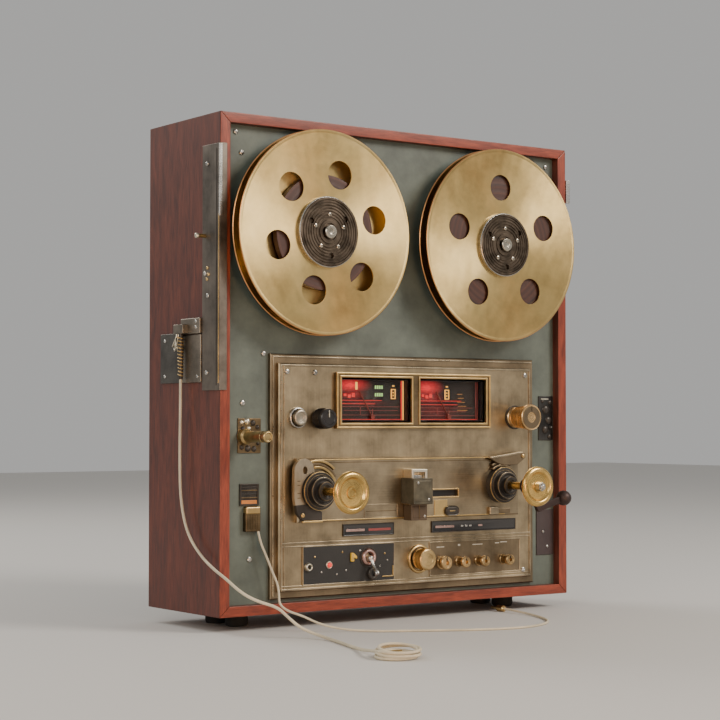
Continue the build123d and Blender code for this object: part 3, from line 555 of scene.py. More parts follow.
def coil_points():
    """The turns at the cord's end: down an outer helix, up an inner one, then round inside to the plug."""
    x, y = COIL_AT
    points, steps = [], COIL_TURNS * COIL_POINTS
    for i in range(1, 2 * steps + 1):
        angle = math.pi + 2 * math.pi * i / COIL_POINTS
        turns = COIL_TURNS * abs(1 - i / steps)
        ease = min(1, max(0, (i - steps) / (COIL_POINTS / 2)))
        r = COIL_OUTER + (COIL_INNER - COIL_OUTER) * ease
        lift = 1 + 0.46 * (1 + math.cos(angle - COIL_REAR))
        points.append((x + r * math.cos(angle), y + r * math.sin(angle), 1.3 + CORD_WIDE * turns * lift))
    for r, degrees, z in COIL_TAIL:
        a = math.radians(degrees)
        points.append((x + r * math.cos(a), y + r * math.sin(a), z))
    points.append((x + 7.2, y + 3.4, 3.0))
    return points


def lay_cord(name, route, width, finish, **facts):
    """A smooth NURBS line through a route's control points, with a round section."""
    data = bpy.data.curves.new(name, "CURVE")
    data.dimensions = "3D"
    line = data.splines.new("NURBS")
    line.points.add(len(route) - 1)
    for point, (x, y, height) in zip(line.points, route):
        point.co = (*at(x, y, height + FLOOR_Z), 1)
    line.order_u = 3
    line.use_endpoint_u = True
    line.resolution_u = 8
    data.bevel_depth = width / 2 * MM
    data.bevel_resolution = 4
    data.use_fill_caps = True
    piece = bpy.data.objects.new(name, data)
    bpy.context.scene.collection.objects.link(piece)
    data.materials.append(finish.material)
    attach(piece, "deck")
    x, y, height = route[0]
    return piece


def jack_plug(name, start, toward, length, node):
    """A small jack plug, lying along one axis: sleeve, collar, shaft and tip."""
    sign = 1 if toward[0] == "+" else -1
    axis = toward[1]
    shape = [
        (0, 0), (1.7, 0), (2.6, 1.2), (3.0, 1.8), (3.0, 9.5), (2.7, 10.2), (1.9, 10.4), (1.9, 11.4),
        (1.25, 11.6), (1.25, length - 2.6), (0.95, length - 2.2), (1.25, length - 1.4), (0.5, length),
        (0, length)]
    piece = turned(name, start, [(r, sign * s) for r, s in shape], axis, 32)
    return keep(smooth(rounded(piece, 0.12)), BRASS, stands_for=(node,), slot="knob_brass")


def make_cords():
    x, y = COIL_AT
    plug = jack_plug("coil_plug", (x + 7.0, y + 3.2, 3.0 + FLOOR_Z), "-X", 18, "cord_plug")
    cord = lay_cord("side_cord_line", CORD_ROUTE + coil_points(), CORD_WIDE, CREAM, length=CORD_LENGTH,
        far_end="plug", stiffness="limp", lay="loose", with_pieces=[plug, *make_strain_relief()])
    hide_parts("side_cord", "cord_coil")
    end = WIRE_ROUTE[-1]
    plug = jack_plug("wire_end_plug", (end[0], end[1], end[2] + FLOOR_Z), "+Y", 20, "wire_plug")
    wire = lay_cord("front_wire_line", WIRE_ROUTE, WIRE_WIDE, CREAM, length=WIRE_LENGTH, far_end="plug",
                    stiffness="limp", lay="loose", with_pieces=[plug, *make_front_plug()])
    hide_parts("front_wire")


# ------------------------------------------------------------------ cabinet

def board(node, name, side):
    """A mitred board with softened edges, whose faces that look to the front get a lighter, redder copy of
    the wood as painted light falling on the front edges.
    """
    x, y, z = span(node)
    piece = cube(name, x, y, z)
    thick = (x[1] - x[0]) if side in ("left", "right") else (z[1] - z[0])
    inner = {"left": lambda c: c.x > x[1] - 0.01, "right": lambda c: c.x < x[0] + 0.01,
             "top": lambda c: c.z < z[0] + 0.01, "bottom": lambda c: c.z > z[1] - 0.01}[side]
    corner = span("back_cover")
    for vertex in piece.data.vertices:
        place = (vertex.co - ORIGIN) / MM
        if not inner(place):
            continue
        if side in ("left", "right"):
            vertex.co.z = at(0, 0, corner[2][0] if place.z < middle(z) else corner[2][1]).z
        else:
            vertex.co.x = at(corner[0][0] if place.x < middle(x) else corner[0][1], 0, 0).x
    rounded(piece, min(0.7, thick / 8), 2)
    upright = side in ("left", "right")
    keep(piece, MAHOGANY["sides" if upright else "level"], stands_for=(node,),
         slot="mahogany_side" if upright else "mahogany_edge")
    # faces that look to the front take the lighter, redder copy of the wood: painted light on the front edges
    piece.data.materials.append(MAHOGANY["lit_front_up" if upright else "lit_front_level"].material)
    for face in piece.data.polygons:
        if face.normal.y < -0.5:
            face.material_index = 1
    return piece


FOOT_R = 10.0


def make_cabinet():
    for side in ("left", "right"):
        board(f"cabinet_{side}_side", f"{side}_board", side)
    for side in ("top", "bottom"):
        board(f"cabinet_{side}", f"{side}_board", side)
    x, y, _ = span("cabinet_feet")
    r = FOOT_R
    for name, fx, fy in (("front_left", x[0] + r, y[0] + r), ("front_right", x[1] - r, y[0] + r),
                         ("rear_left", x[0] + r, y[1] - r), ("rear_right", x[1] - r, y[1] - r)):
        foot = turned(f"foot_{name}", (fx, fy, 0), [
            (0, 0), (9.2, 0), (9.6, -1.5), (10, -3), (10, -10.5), (9.2, -12.6), (7.5, -13), (4.5, -13),
            (4.0, -11), (0, -11)], "Z", 40)
        keep(rounded(foot, 0.3), RUBBER, stands_for=("cabinet_feet",), slot="rubber_foot")
    refinish("face_panel", ENAMEL)


# ------------------------------------------------------------------ reels

FLANGE_T = 1.5
BORE_R = 4.2
CORE_R = 28.0
HUB_PROUD = 4.0
HUB_HOLES_R = 20.5
HUB_SCREWS_R = 15.2
REELS = {"supply": {"sign": -1, "windows": 6, "hole": 12.5, "pitch": 52.0, "phase": 15.0, "hub": 30.0,
    "pack": 50.0}, "takeup": {"sign": 1, "windows": 5, "hole": 12.0, "pitch": 53.0, "phase": 20.5,
    "hub": 28.5, "pack": 68.0}}


def reel_gold(centre, name):
    """Satin champagne gold, evenly toned, with faint turning marks and a few worn patches."""
    made = Finish(name, (0.74, 0.56, 0.27), 0.36, 1.0)
    made.spun(centre, 0.7)
    fine = made.rings(centre, 0.3)
    worn = made.noise(made.place(size=(55, 55, 55)), 1.0, 5, 0.6)
    smudge = made.noise(made.place(size=(7, 7, 7)), 1.0, 5, 0.65)
    body = made.ramp(worn, (0.30, (0.46, 0.31, 0.12)), (0.55, (0.68, 0.49, 0.20)), (0.75, (0.80, 0.59, 0.26)))
    marks = made.mix(0.5, made.ramp(fine, (0.2, 0.86), (0.8, 1.0)),
        made.ramp(smudge, (0.35, 0.88), (0.65, 1.0)))
    made.colour(made.mix(1.0, body, marks, "MULTIPLY"))
    made.rough(made.ranged(smudge, 0.28, 0.46))
    made.bump(fine, 0.004, 0.12)
    return made


def flange(name, centre, radius, y, windows):
    """One reel flange: a thin disc with a rolled rim, and its round windows with eased edges."""
    x, z = centre
    front, back = y, y + FLANGE_T
    profile = [
        (BORE_R, front + 0.3), (radius - 3.2, front + 0.3), (radius - 2.6, front), (radius - 0.6, front),
        (radius, front + 0.5), (radius, back - 0.5), (radius - 0.6, back), (radius - 2.6, back),
        (radius - 3.2, back - 0.3), (BORE_R, back - 0.3)]
    disc = hoop(name, (x, 0, z), profile, steps=128)
    if windows:
        tools = []
        for i in range(windows["windows"]):
            a = math.radians(windows["phase"] + i * 360 / windows["windows"])
            place = (x + windows["pitch"] * math.cos(a), y + FLANGE_T / 2, z + windows["pitch"] * math.sin(a))
            tools.append(rod("window", place, windows["hole"], 6))
        carve(disc, *tools)
    return rounded(disc, 0.2, 2, 40)


def copper_rim(piece, centre, radius):
    """Gives a flange's outer edge a redder metal."""
    piece.data.materials.append(COPPER.material)
    for face in piece.data.polygons:
        place = (face.center - ORIGIN) / MM
        if math.hypot(place.x - centre[0], place.z - centre[1]) > radius - 0.45:
            face.material_index = 1


def make_reel(name):
    facts = REELS[name]
    body = f"{name}_reel"
    x, y, z = span(f"{name}_flanges")
    centre = (middle(x), middle(z))
    axis = (centre[0], 0, centre[1])
    radius = (x[1] - x[0]) / 2
    gold = reel_gold(axis, f"{name}_gold")
    for side, place, windows in (("front", y[0], facts), ("rear", y[1] - FLANGE_T, None)):
        disc = keep(flange(f"{name}_{side}_flange", centre, radius, place, windows), gold, body,
            (f"{name}_flanges",), "reel_gold")
        copper_rim(disc, centre, radius)

    pack_y = span(f"{name}_tape_pack")[1]
    layers = []
    outer = facts["pack"]
    count = int((outer - CORE_R) / 2.2)
    for i in range(count + 1):
        r = CORE_R + (outer - CORE_R) * i / count
        dip = 0.10 + 0.16 * abs(math.sin(7.3 * i))
        layers.append((r, dip))
    profile = [(r, pack_y[0] + dip) for r, dip in layers] + [(r, pack_y[1] - dip) for r,
        dip in reversed(layers)]
    pack = smooth(hoop(f"{name}_pack", axis, profile, steps=96), 30)
    keep(pack, tape_finish(axis, name), body, (f"{name}_tape_pack",), "tape_brown")
    make_hub(name, axis, body, y[0], facts)


def tape_finish(centre, name):
    made = Finish(f"{name}_tape", (0.06, 0.02, 0.012), 0.32, 0.0, Coat_Weight=0.3)
    rings = made.rings(centre, 0.5, 6)
    bands = made.rings(centre, 5.0, 2)
    body = made.ramp(bands, (0.3, (0.030, 0.010, 0.007)), (0.6, (0.085, 0.028, 0.015)),
        (0.75, (0.20, 0.075, 0.035)))
    streaks = made.ramp(rings, (0.3, 0.55), (0.7, 1.0))
    made.colour(made.mix(1.0, body, streaks, "MULTIPLY"))
    made.rough(made.ranged(rings, 0.25, 0.5))
    made.bump(rings, 0.08, 0.7)
    return made


def make_hub(name, axis, body, face_y, facts):
    """The hub's grooved front disc with a bright rim, its screws, finger holes and centre bolt."""
    x, _, z = axis
    r = facts["hub"]
    front = face_y - HUB_PROUD
    dark = turned_metal(f"{name}_hub_bronze", (0.15, 0.115, 0.085), axis, 0.3, 0.2, 0.5)
    profile = [
        (BORE_R, face_y + 0.3), (r, face_y + 0.3), (r, front + 0.9), (r - 0.8, front), (r - 2.2, front),
        (r - 2.6, front + 0.8)]
    ring = r - 4.0
    while ring > 12.5:
        profile += [
            (ring + 1.0, front + 0.8), (ring + 0.7, front + 0.2), (ring - 0.3, front + 0.2),
            (ring - 0.6, front + 0.8)]
        ring -= 2.6
    profile += [(10.5, front + 0.8), (10.2, front), (7.6, front), (7.2, front + 1.0), (BORE_R, front + 1.0)]
    disc = hoop(f"{name}_hub_disc", axis, profile, steps=96)
    holes = []
    for i in range(3):
        a = math.radians(35 + 120 * i)
        place = (x + HUB_HOLES_R * math.cos(a), front, z + HUB_HOLES_R * math.sin(a))
        holes.append(rod("hole", place, 2.6, 5, sides=24))
    carve(disc, *holes)
    keep(rounded(disc, 0.12, 1, 40), dark, body, (f"{name}_hub",), "hub_bronze")
    core = band(f"{name}_hub_core", axis, (BORE_R, CORE_R), (face_y + 1.6, face_y + 10.4))
    keep(smooth(core), dark, body, (f"{name}_hub",), "hub_bronze")
    rim = hoop(f"{name}_hub_rim", axis, [
        (r - 0.1, front + 0.5), (r + 0.7, front + 1.0), (r + 0.7, face_y + 0.2), (r - 0.1, face_y + 0.2)],
        steps=96)
    keep(rounded(rim, 0.2), STEEL, body)
    bright = turned_metal(f"{name}_bolt_steel", (0.62, 0.56, 0.46), axis, 0.2)
    bolt = turned(f"{name}_bolt", axis, [
        (0, front - 2.2), (2.2, front - 2.2), (2.6, front - 3.0), (5.2, front - 3.0), (6.0, front - 2.2),
        (6.0, front - 0.1), (4.0, front + 0.6), (4.0, 50), (0, 50)], steps=48)
    keep(rounded(bolt, 0.15), bright, body, (f"{name}_spindle",), "screw_steel")
    table_y = span(f"{name}_flanges")[1][1]
    table = hoop(f"{name}_table", axis, [
        (4.1, table_y), (33, table_y), (34, table_y + 0.8), (34, table_y + 2.2), (33, table_y + 3.0),
        (4.1, table_y + 3.0)])
    keep(rounded(table, 0.2), BLACK_PLASTIC, body, (f"{name}_spindle",))
    screws = []
    for i in range(5):
        a = math.radians(18 + 72 * i)
        place = (x + HUB_SCREWS_R * math.cos(a), front + 0.8, z + HUB_SCREWS_R * math.sin(a))
        screws.append(screw("screw", place, 2.0, 1.3, 20 + 61 * i))
    keep(joined(f"{name}_hub_screws", screws), bright, body)


def screw(name, place, radius, height, turn=0.0):
    """A domed screw head with a slot, standing on place and facing the front."""
    x, y, z = place
    head = turned(name, place, [
        (0, -height), (radius * 0.55, -height * 0.97), (radius * 0.86, -height * 0.72),
        (radius, -height * 0.3), (radius, 0), (0, 0)], "Y", 24)
    slot = cube("slot", (x - radius * 1.2, x + radius * 1.2), (y - height * 1.3, y - height * 0.45),
        (z - radius * 0.13, z + radius * 0.13))
    spun_round(slot, place, turn)
    carve(head, slot)
    return smooth(head)


# ------------------------------------------------------------------ panels

FACE_Y = 8.0
# small bars in the places of labels: first and last x, first and last z
LABEL_MARKS = [
    (35.0, 44.0, 49.6, 50.3), (60.0, 62.6, 50.2, 51.8), (77.0, 89.0, 50.4, 51.2), (104.0, 109.0, 50.8, 51.6),
    (110.5, 118.5, 51.4, 52.2)]
# beads on the control plate: name, first and last edge, and how far each stands out
LEVEL_BEADS = (
    ("ridge_upper", 58.8, 60.2, 1.0), ("ridge_lower", 56.0, 57.0, 0.7), ("sill_upper", 22.4, 23.2, 0.6),
    ("sill_lower", 19.0, 20.8, 1.0), ("top_bead", 211.4, 212.8, 0.8))
UPRIGHT_BEADS = (("left_bead", 1.2, 2.6, 0.9), ("left_groove_bead", 4.6, 5.4, 0.6),
    ("right_bead", 281.2, 282.6, 0.9))
KNOB_PANEL = (27.5, 134.0), (24.5, 54.5)
# screws on the plate and on the face panel: x and z
PLATE_SCREWS = [(-127.0, 206.6), (-98.0, 206.2), (141.3, 207.0), (138.5, 25.0)]
FACE_SCREWS = [
    (-174.4, 410.0), (-168.5, 392.7), (-167.0, 179.6), (-160.0, 47.0), (175.0, 408.0), (-146.0, 222.0)]


def bar(name, x, y, z, finish, soft=0.3, **keeping):
    """A softened block in its finish."""
    piece = cube(name, x, y, z)
    return keep(rounded(piece, soft, 3), finish, **keeping)


def rect_frame(name, x, y, z, width, finish, soft=0.3, **keeping):
    """A rectangular frame standing on a panel, with softened edges."""
    piece = cube(name, x, y, z)
    carve(piece, cube("hole", grown(x, -width), grown(y, 2), grown(z, -width)))
    return keep(rounded(piece, soft, 2), finish, **keeping)


def make_panels():
    refinish("control_backplate", NICKEL_DARK)
    refinish("control_plate", NICKEL)
    x, y, z = span("control_plate")
    front = y[0]
    for name, low, high, out in LEVEL_BEADS:
        bar(name, (x[0] + 1.6, x[1] - 1.6), (front - out, front + 0.2), (low, high), NICKEL_EDGE)
    for name, low, high, out in UPRIGHT_BEADS:
        bar(name, (x[0] + low, x[0] + high), (front - out, front + 0.2), (z[0] + 2, z[1] - 2), NICKEL_EDGE)
    step = span("control_backplate")
    bar("step_bead_left", (step[0][0] + 1.6, step[0][0] + 2.8), (step[1][0] - 0.8, step[1][0] + 0.2),
        grown(step[2], -2), NICKEL_EDGE)
    bar("step_bead_top", grown(step[0], -2), (step[1][0] - 0.8, step[1][0] + 0.2),
        (step[2][1] - 3.2, step[2][1] - 2.0), NICKEL_EDGE)
    wide, tall = KNOB_PANEL
    bar("knob_panel", wide, (front - 0.5, front + 0.1), tall, NICKEL_DARK, 0.2)
    rect_frame("knob_panel_edge", grown(wide, 0.5), (front - 0.9, front), grown(tall, 0.5), 0.9, NICKEL_EDGE)
    for i, (x0, x1, z0, z1) in enumerate(LABEL_MARKS):
        bar(f"label_mark_{i}", (x0, x1), (front - 0.7, front - 0.4), (z0, z1), PALE_INK, 0.08)
    for i, (sx, sz) in enumerate(PLATE_SCREWS):
        head = screw(f"plate_screw_{i}", (sx, front, sz), 2.4, 1.5, 25 + 47 * i)
        keep(head, STEEL, stands_for=("panel_screws",), slot="screw_steel")
    for i, (sx, sz) in enumerate(FACE_SCREWS):
        head = screw(f"face_screw_{i}", (sx, FACE_Y, sz), 2.4, 1.5, 70 + 31 * i)
        keep(head, STEEL, stands_for=("panel_screws",), slot="screw_steel")


# ------------------------------------------------------------------ meters

METERS = {"left": (-72.0, 5.0), "right": (14.5, 91.5)}
METER_Z = (162.5, 202.5)
CARD_Y = 7.0

# Places on a meter's card are shares of its width from the left and of its height from the top.
# red glow: centre and spread of each spot
GLOW_SPOTS = {
    "left": ((0.20, 0.14, 0.34, 0.22), (0.22, 0.36, 0.26, 0.16), (0.40, 0.56, 0.5, 0.10)),
    "right": ((0.18, 0.18, 0.30, 0.26), (0.2, 0.42, 0.3, 0.2), (0.3, 0.75, 0.55, 0.36)),
}
# scale lines: start, end and height
SCALE_LINES = {
    "left": (
        (0.02, 0.66, 0.50), (0.02, 0.56, 0.58), (0.02, 0.97, 0.955), (0.02, 0.92, 0.65), (0.10, 0.90, 0.74),
        (0.02, 0.94, 0.85)),
    "right": (
        (0.02, 0.72, 0.50), (0.02, 0.66, 0.59), (0.02, 0.97, 0.955), (0.02, 0.9, 0.67), (0.02, 0.8, 0.76),
        (0.02, 0.94, 0.86)),
}
RED_MARKS = (
    (0.10, 0.34, 0.40), (0.16, 0.36, 0.44), (0.22, 0.32, 0.42), (0.34, 0.66, 0.84), (0.52, 0.70, 0.92))
# the small amber box with two lamps in it and one above: place, width and height
AMBER_BOX = ((0, 0, 0.07, 0.02), (0, 0.22, 0.07, 0.02), (0, 0, 0.012, 0.24), (0.058, 0, 0.012, 0.24),
             (0.026, 0.07, 0.016, 0.03), (0.026, 0.14, 0.016, 0.03), (0.02, -0.09, 0.03, 0.03))
AMBER_BOX_AT = {"left": 0.80, "right": 0.46}
GREEN_MARKS_AT = 0.56


def meter_card(name, x, z, y):
    """The black card behind the pane, lit red from one upper corner, with its lines and small lit marks."""
    card = Finish(f"{name}_card", (0.012, 0.008, 0.008), 0.5)
    wide, tall = x[1] - x[0], z[1] - z[0]

    def glow(u, v, su, sv):
        spot = card.place((x[0] + u * wide, y, z[1] - v * tall), (su * wide, 200, sv * tall))
        far = card.node("VectorMath", {0: spot}, operation="LENGTH").outputs["Value"]
        return card.ranged(far, 1.0, 0.0)

    first, *others = GLOW_SPOTS[name]
    total = glow(*first)
    for spot, share in zip(others, (0.5, 0.22)):
        more = card.node("Math", {0: glow(*spot), 1: share}, operation="MULTIPLY").outputs[0]
        total = card.node("Math", {0: total, 1: more}, operation="MAXIMUM").outputs[0]
    patchy = card.noise(card.place(size=(3, 3, 1.2)), 1.0, 4, 0.7)
    lit = card.node("Math", {0: total, 1: card.ranged(patchy, 0.35, 1.2)}, operation="MULTIPLY").outputs[0]
    strength = card.node("Math", {0: lit, 1: 1.6}, operation="POWER").outputs[0]
    card.feed(card.shader,
        {"Emission Color": (0.95, 0.02, 0.03, 1), "Emission Strength": card.ranged(strength, 0.0, 1.9)})
    keep(rounded(cube(f"{name}_meter_card", x, (y - 0.5, y - 0.1), z), 0.1, 1), card)

    def mark(group, index, u0, u1, v0, v1, finish, out=0.9):
        low_high = (x[0] + u0 * wide, x[0] + u1 * wide), (z[1] - v1 * tall, z[1] - v0 * tall)
        return bar(f"{name}_{group}_{index}", low_high[0], (y - out, y - 0.4), low_high[1], finish, 0.05)

    for i, (u0, u1, v) in enumerate(SCALE_LINES[name]):
        mark("scale_line", i, u0, u1, v - 0.006, v + 0.006, RED_LIGHT if i < 3 else ROSE_INK)
    mark("edge_line", 0, 0.976, 0.99, 0.02, 0.97, AMBER_LIGHT if name == "left" else ROSE_INK)
    mark("edge_line", 1, 0.95, 0.965, 0.02, 0.97, RED_LIGHT if name == "left" else ROSE_INK)
    for i, (u0, v0, v1) in enumerate(RED_MARKS):
        mark("red_mark", i, u0, u0 + (0.04 if i < 3 else 0.008), v0, v1, RED_LIGHT if i < 3 else ROSE_INK)
    if name == "left":
        for i in range(8):
            u, v = GREEN_MARKS_AT + 0.032 * (i % 4), 0.14 + 0.18 * (i // 4)
            mark("green_mark", i, u, u + 0.018, v, v + 0.08, GREEN_LIGHT)
        mark("hot_mark", 0, 0.27, 0.30, 0.06, 0.24, AMBER_LIGHT)
    for i, (du, dv, w, h) in enumerate(AMBER_BOX):
        u, v = AMBER_BOX_AT[name] + du, 0.22 + dv
        mark("amber_mark", i, u, u + w, v, v + h, AMBER_LIGHT)
    if name == "right":
        for i in range(5):
            mark("tick", i, 0.66 + 0.012 * (i % 2), 0.74 + 0.02 * i, 0.32 + 0.1 * i, 0.335 + 0.1 * i,
                AMBER_INK)


def make_meters():
    x, y, z = span("meter_bezel")
    base = cube("bezel_base", x, (y[0] + 0.8, y[1]), z)
    deep = (y[0] - 5, y[1] + 5)
    carve(base, *[cube("window", grown(pair, 0.4), deep, grown(METER_Z, 0.4)) for pair in METERS.values()])
    keep(rounded(base, 0.5, 2), BRONZE, stands_for=("meter_bezel",), slot="bezel_brass")
    rect_frame("bezel_outer_rim", grown(x, -0.2), (y[0] - 0.2, y[1] - 1), grown(z, -0.2), 1.7, BRASS, 0.5)
    for name, pair in METERS.items():
        rect_frame(f"{name}_window_rim", grown(pair, 1.6), (y[0], y[1] - 0.2), grown(METER_Z, 1.6), 1.7,
            BRASS, 0.45)
        inner = (pair[0] + 1.5, pair[1] - 1.5), (METER_Z[0] + 1.5, METER_Z[1] - 1.5)
        rect_frame(f"{name}_window_lip", grown(inner[0], 0.4), (1.0, 4.4), grown(inner[1], 0.4), 0.9,
            BLACK_PLASTIC, 0.15)
        meter_card(name, inner[0], inner[1], CARD_Y)
        refinish(f"{name}_meter_needle", NEEDLE)
    refinish("meter_cases", BLACK_PLASTIC)
    refinish("meter_glass", PANE)


# ------------------------------------------------------------------ head cover and its posts

POSTS = {"capstan": (-100.5, 104.0), "crank": (106.0, 105.0)}


def arc_points(centre, radius, start, stop, steps=12):
    """Points on an arc in x and z, from start to stop in degrees."""
    angles = [math.radians(start + (stop - start) * i / steps) for i in range(steps + 1)]
    return [(centre[0] + radius * math.cos(a), centre[1] + radius * math.sin(a)) for a in angles]


def curved_bar(name, centre, outer, inner, start, stop, y0, y1):
    """A flat bar bent round a centre, between two radii and two angles."""
    points = arc_points(centre, outer, start, stop, 16) + arc_points(centre, inner, stop, start, 16)
    return outline(name, points, y0, y1)


def make_collar(name, x, z, y):
    """The stepped flange round a post, with bright rims on its steps."""
    profile = [
        (3.6, y), (16.5, y), (16.5, y - 7.2), (16.0, y - 8), (14.4, y - 8), (14.0, y - 7.2), (12.0, y - 7.2),
        (12.0, y - 12.4), (11.6, y - 13), (10.2, y - 13), (9.8, y - 12.2), (8.0, y - 12.2), (8.0, y - 16.6),
        (7.6, y - 17), (5.2, y - 17), (4.8, y - 16), (3.6, y - 16)]
    collar = hoop(f"{name}_collar", (x, 0, z), profile)
    keep(rounded(collar, 0.25), GUNMETAL, stands_for=("shaft_collars",), slot="collar_gunmetal")
    rims = ((16.6, 7.0, BRASS), (12.1, 12.2, NICKEL_EDGE), (8.1, 16.4, BRONZE), (14.2, 7.5, NICKEL_DARK))
    for i, (r, out, finish) in enumerate(rims):
        rim = band(f"{name}_collar_rim_{i}", (x, 0, z), (r - 0.5, r + 0.1), (y - out - 0.5, y - out + 0.4))
        keep(rounded(rim, 0.15), finish)


def make_disc(name, x, z):
    """A thin dished disc with a fluted rim on a stout shaft."""
    node = f"{name}_disc"
    y = DISC_FRONT
    profile = [
        (0, y + 2.0), (3.0, y + 2.0), (3.4, y + 1.4), (5.0, y + 1.4), (5.4, y + 2.2), (11.4, y + 2.6),
        (12.3, y + 1.8), (12.9, y + 0.8), (13.8, y + 0.2), (14.9, y), (16.1, y + 0.2), (17.1, y + 0.8),
        (17.8, y + 1.6), (18.0, y + 2.2), (18.0, y + 3.4), (17.2, y + 4.0), (10.0, y + 4.2), (7.0, y + 5.6),
        (6.0, y + 8.0), (6.0, y + 15.6), (3.5, y + 16), (3.5, 11), (0, 11)]
    disc = turned(f"{name}_wheel", (x, 0, z), profile, steps=96)
    knurled(disc, lambda c, n: abs(n.y) < 0.3 and math.hypot(c.x - x, c.z - z) > 17.5, 0.12, 0.3)
    finish = turned_metal(f"{name}_gold", (0.84, 0.55, 0.18), (x, 0, z), 0.22, 0.14, 0.4)
    keep(smooth(disc), finish, name, (node,), "bezel_brass")
    for i, place in enumerate((y + 7.4, y + 14.6)):
        ring = band(f"{name}_shaft_ring_{i}", (x, 0, z), (5.8, 6.9), (place - 0.7, place + 0.7), 40)
        keep(rounded(ring, 0.25), finish, name)


# the lever's way from the crank's shaft by its elbow to its ball: x and z
CRANK_PATH = [(106.0, 105.0), (121.0, 84.5), (151.3, 93.1)]
LEVER_MID = -43.0
DISC_FRONT = -61.0


def make_crank_lever():
    mid = LEVER_MID
    (x, z), elbow, (bx, bz) = CRANK_PATH
    hub = hoop("lever_hub", (x, 0, z), [
        (3.55, mid - 2), (6.4, mid - 2), (7, mid - 1.4), (7, mid + 1.4), (6.4, mid + 2), (3.55, mid + 2)],
        steps=48)
    runs = []
    for (ax, az), (cx, cz), trim in (((x, z), elbow, 5.5), (elbow, (bx, bz), 0)):
        length = math.hypot(cx - ax, cz - az)
        run = cube("run", (ax + trim, ax + length), (mid - 1.9, mid + 1.9), (az - 2.9, az + 2.9))
        runs.append(spun_round(run, (ax, mid, az), -math.degrees(math.atan2(cz - az, cx - ax))))
    joint = rod("elbow", (elbow[0], mid, elbow[1]), 3.4, 4.0, sides=32)
    arm = joined("lever_arm", [rounded(piece, 0.5) for piece in (*runs, joint)] + [hub])
    keep(smooth(arm), LEVER_METAL, "crank", ("crank_lever",), "lever_dark")
    grip = turned("lever_grip", (bx, mid, bz), [
        (0, -7), (2.4, -6.8), (5.0, -5.2), (6.6, -2.6), (7.0, 0), (6.6, 2.6), (5.0, 5.2), (2.4, 6.8), (0, 7)],
        steps=48)
    keep(smooth(grip, 60), LEVER_METAL, "crank", ("crank_lever",))
    nut = rod("nut", (x, DISC_FRONT - 1.2, z), 4.3, 5.2, sides=6)
    crown = turned("nut_crown", (x, 0, z), [
        (0, DISC_FRONT - 6.4), (1.6, DISC_FRONT - 6.2), (2.8, DISC_FRONT - 5.2), (3.2, DISC_FRONT - 3.6),
        (0, DISC_FRONT - 3.6)], steps=32)
    keep(rounded(joined("crank_nut", [nut, crown]), 0.35), STEEL, "crank")


TAPE_SLOT = (23.6, 56.3), (96.2, 101.8)
# the oval button, the housing's two blocks with how far out they stand, and the framed cap on them
OVAL_AT = (48.4, 82.8)
OVAL_SIZE = (15.8, 8.8)
HOUSINGS = (("upper", (-8.5, 13.0), (90.5, 113.5), 19.0), ("lower", (-6.0, 12.0), (76.0, 90.5), 12.0))
CAP = (-6.0, 11.5), (113.0, 121.5)


def make_head():
    refinish("head_cover", COVER_METAL)
    x, y, z = span("head_cover")
    front = y[0]
    bar("cover_top_edge", (x[0] + 22, x[1] - 1), (front - 0.6, front + 0.3), (z[1] - 1.9, z[1] - 0.8), BRASS,
        0.25)
    bar("cover_top_shadow", (x[0] + 22, x[1] - 1), (front - 0.3, front + 0.3), (z[1] - 4.0, z[1] - 3.4),
        BRONZE, 0.1)
    bar("cover_bottom_edge", (x[0] + 12, x[1] - 18), (front - 0.6, front + 0.3), (z[0] + 0.8, z[0] + 1.9),
        BRASS, 0.25)
    rect_frame("cover_panel_frame", (-49.0, -12.0), (front - 0.5, front + 0.1), (79.0, 91.0), 0.8,
        NICKEL_EDGE, 0.15)
    bar("cover_panel_line", (-47.0, -14.0), (front - 0.4, front + 0.1), (84.6, 85.2), BRONZE, 0.1)
    bar("slot_shade", TAPE_SLOT[0], (front + 3.4, front + 4.2), TAPE_SLOT[1], BLACK_PLASTIC, 0.1)
    for name, low, high in (("slot_lip_upper", 102.2, 103.2), ("slot_lip_lower", 94.8, 95.8)):
        bar(name, (22.5, 57.5), (front - 0.6, front + 0.2), (low, high), BRASS, 0.25)
    bar("slot_end", (56.6, 57.6), (front - 0.5, front + 0.2), (95.8, 102.2), BRASS, 0.2)
    bar("button_plate", (29.0, 44.0), (front - 0.5, front + 0.1), (78.6, 93.0), BRASS, 0.2)
    make_oval(front)
    for name, (px, pz) in POSTS.items():
        make_collar(name, px, pz, front)
        make_disc(name, px, pz)
    make_crank_lever()
    make_housing(front)
    make_brackets(front)


def stadium(x, z, wide, tall, steps=12):
    r, half = tall / 2, (wide - tall) / 2
    return arc_points((x + half, z), r, -90, 90, steps) + arc_points((x - half, z), r, 90, 270, steps)


def make_oval(front):
    x, z = OVAL_AT
    body = outline("oval_body", stadium(x, z, *OVAL_SIZE), front - 2.5, front + 3.4)
    pick_faces(body, lambda c, n: n.y < -0.9)
    bpy.ops.mesh.inset(thickness=1.1 * MM)
    bpy.ops.transform.translate(value=(0, 0.7 * MM, 0))
    bpy.ops.mesh.inset(thickness=0.6 * MM)
    bpy.ops.transform.translate(value=(0, -0.5 * MM, 0))
    leave()
    keep(rounded(body, 0.2), GUNMETAL, "oval", ("oval_button",), "knob_black")
    bar("oval_mark", (x - 3.0, x + 3.0), (front - 2.5, front - 2.2), (z - 0.4, z + 0.4), BRASS, 0.08,
        body="oval")


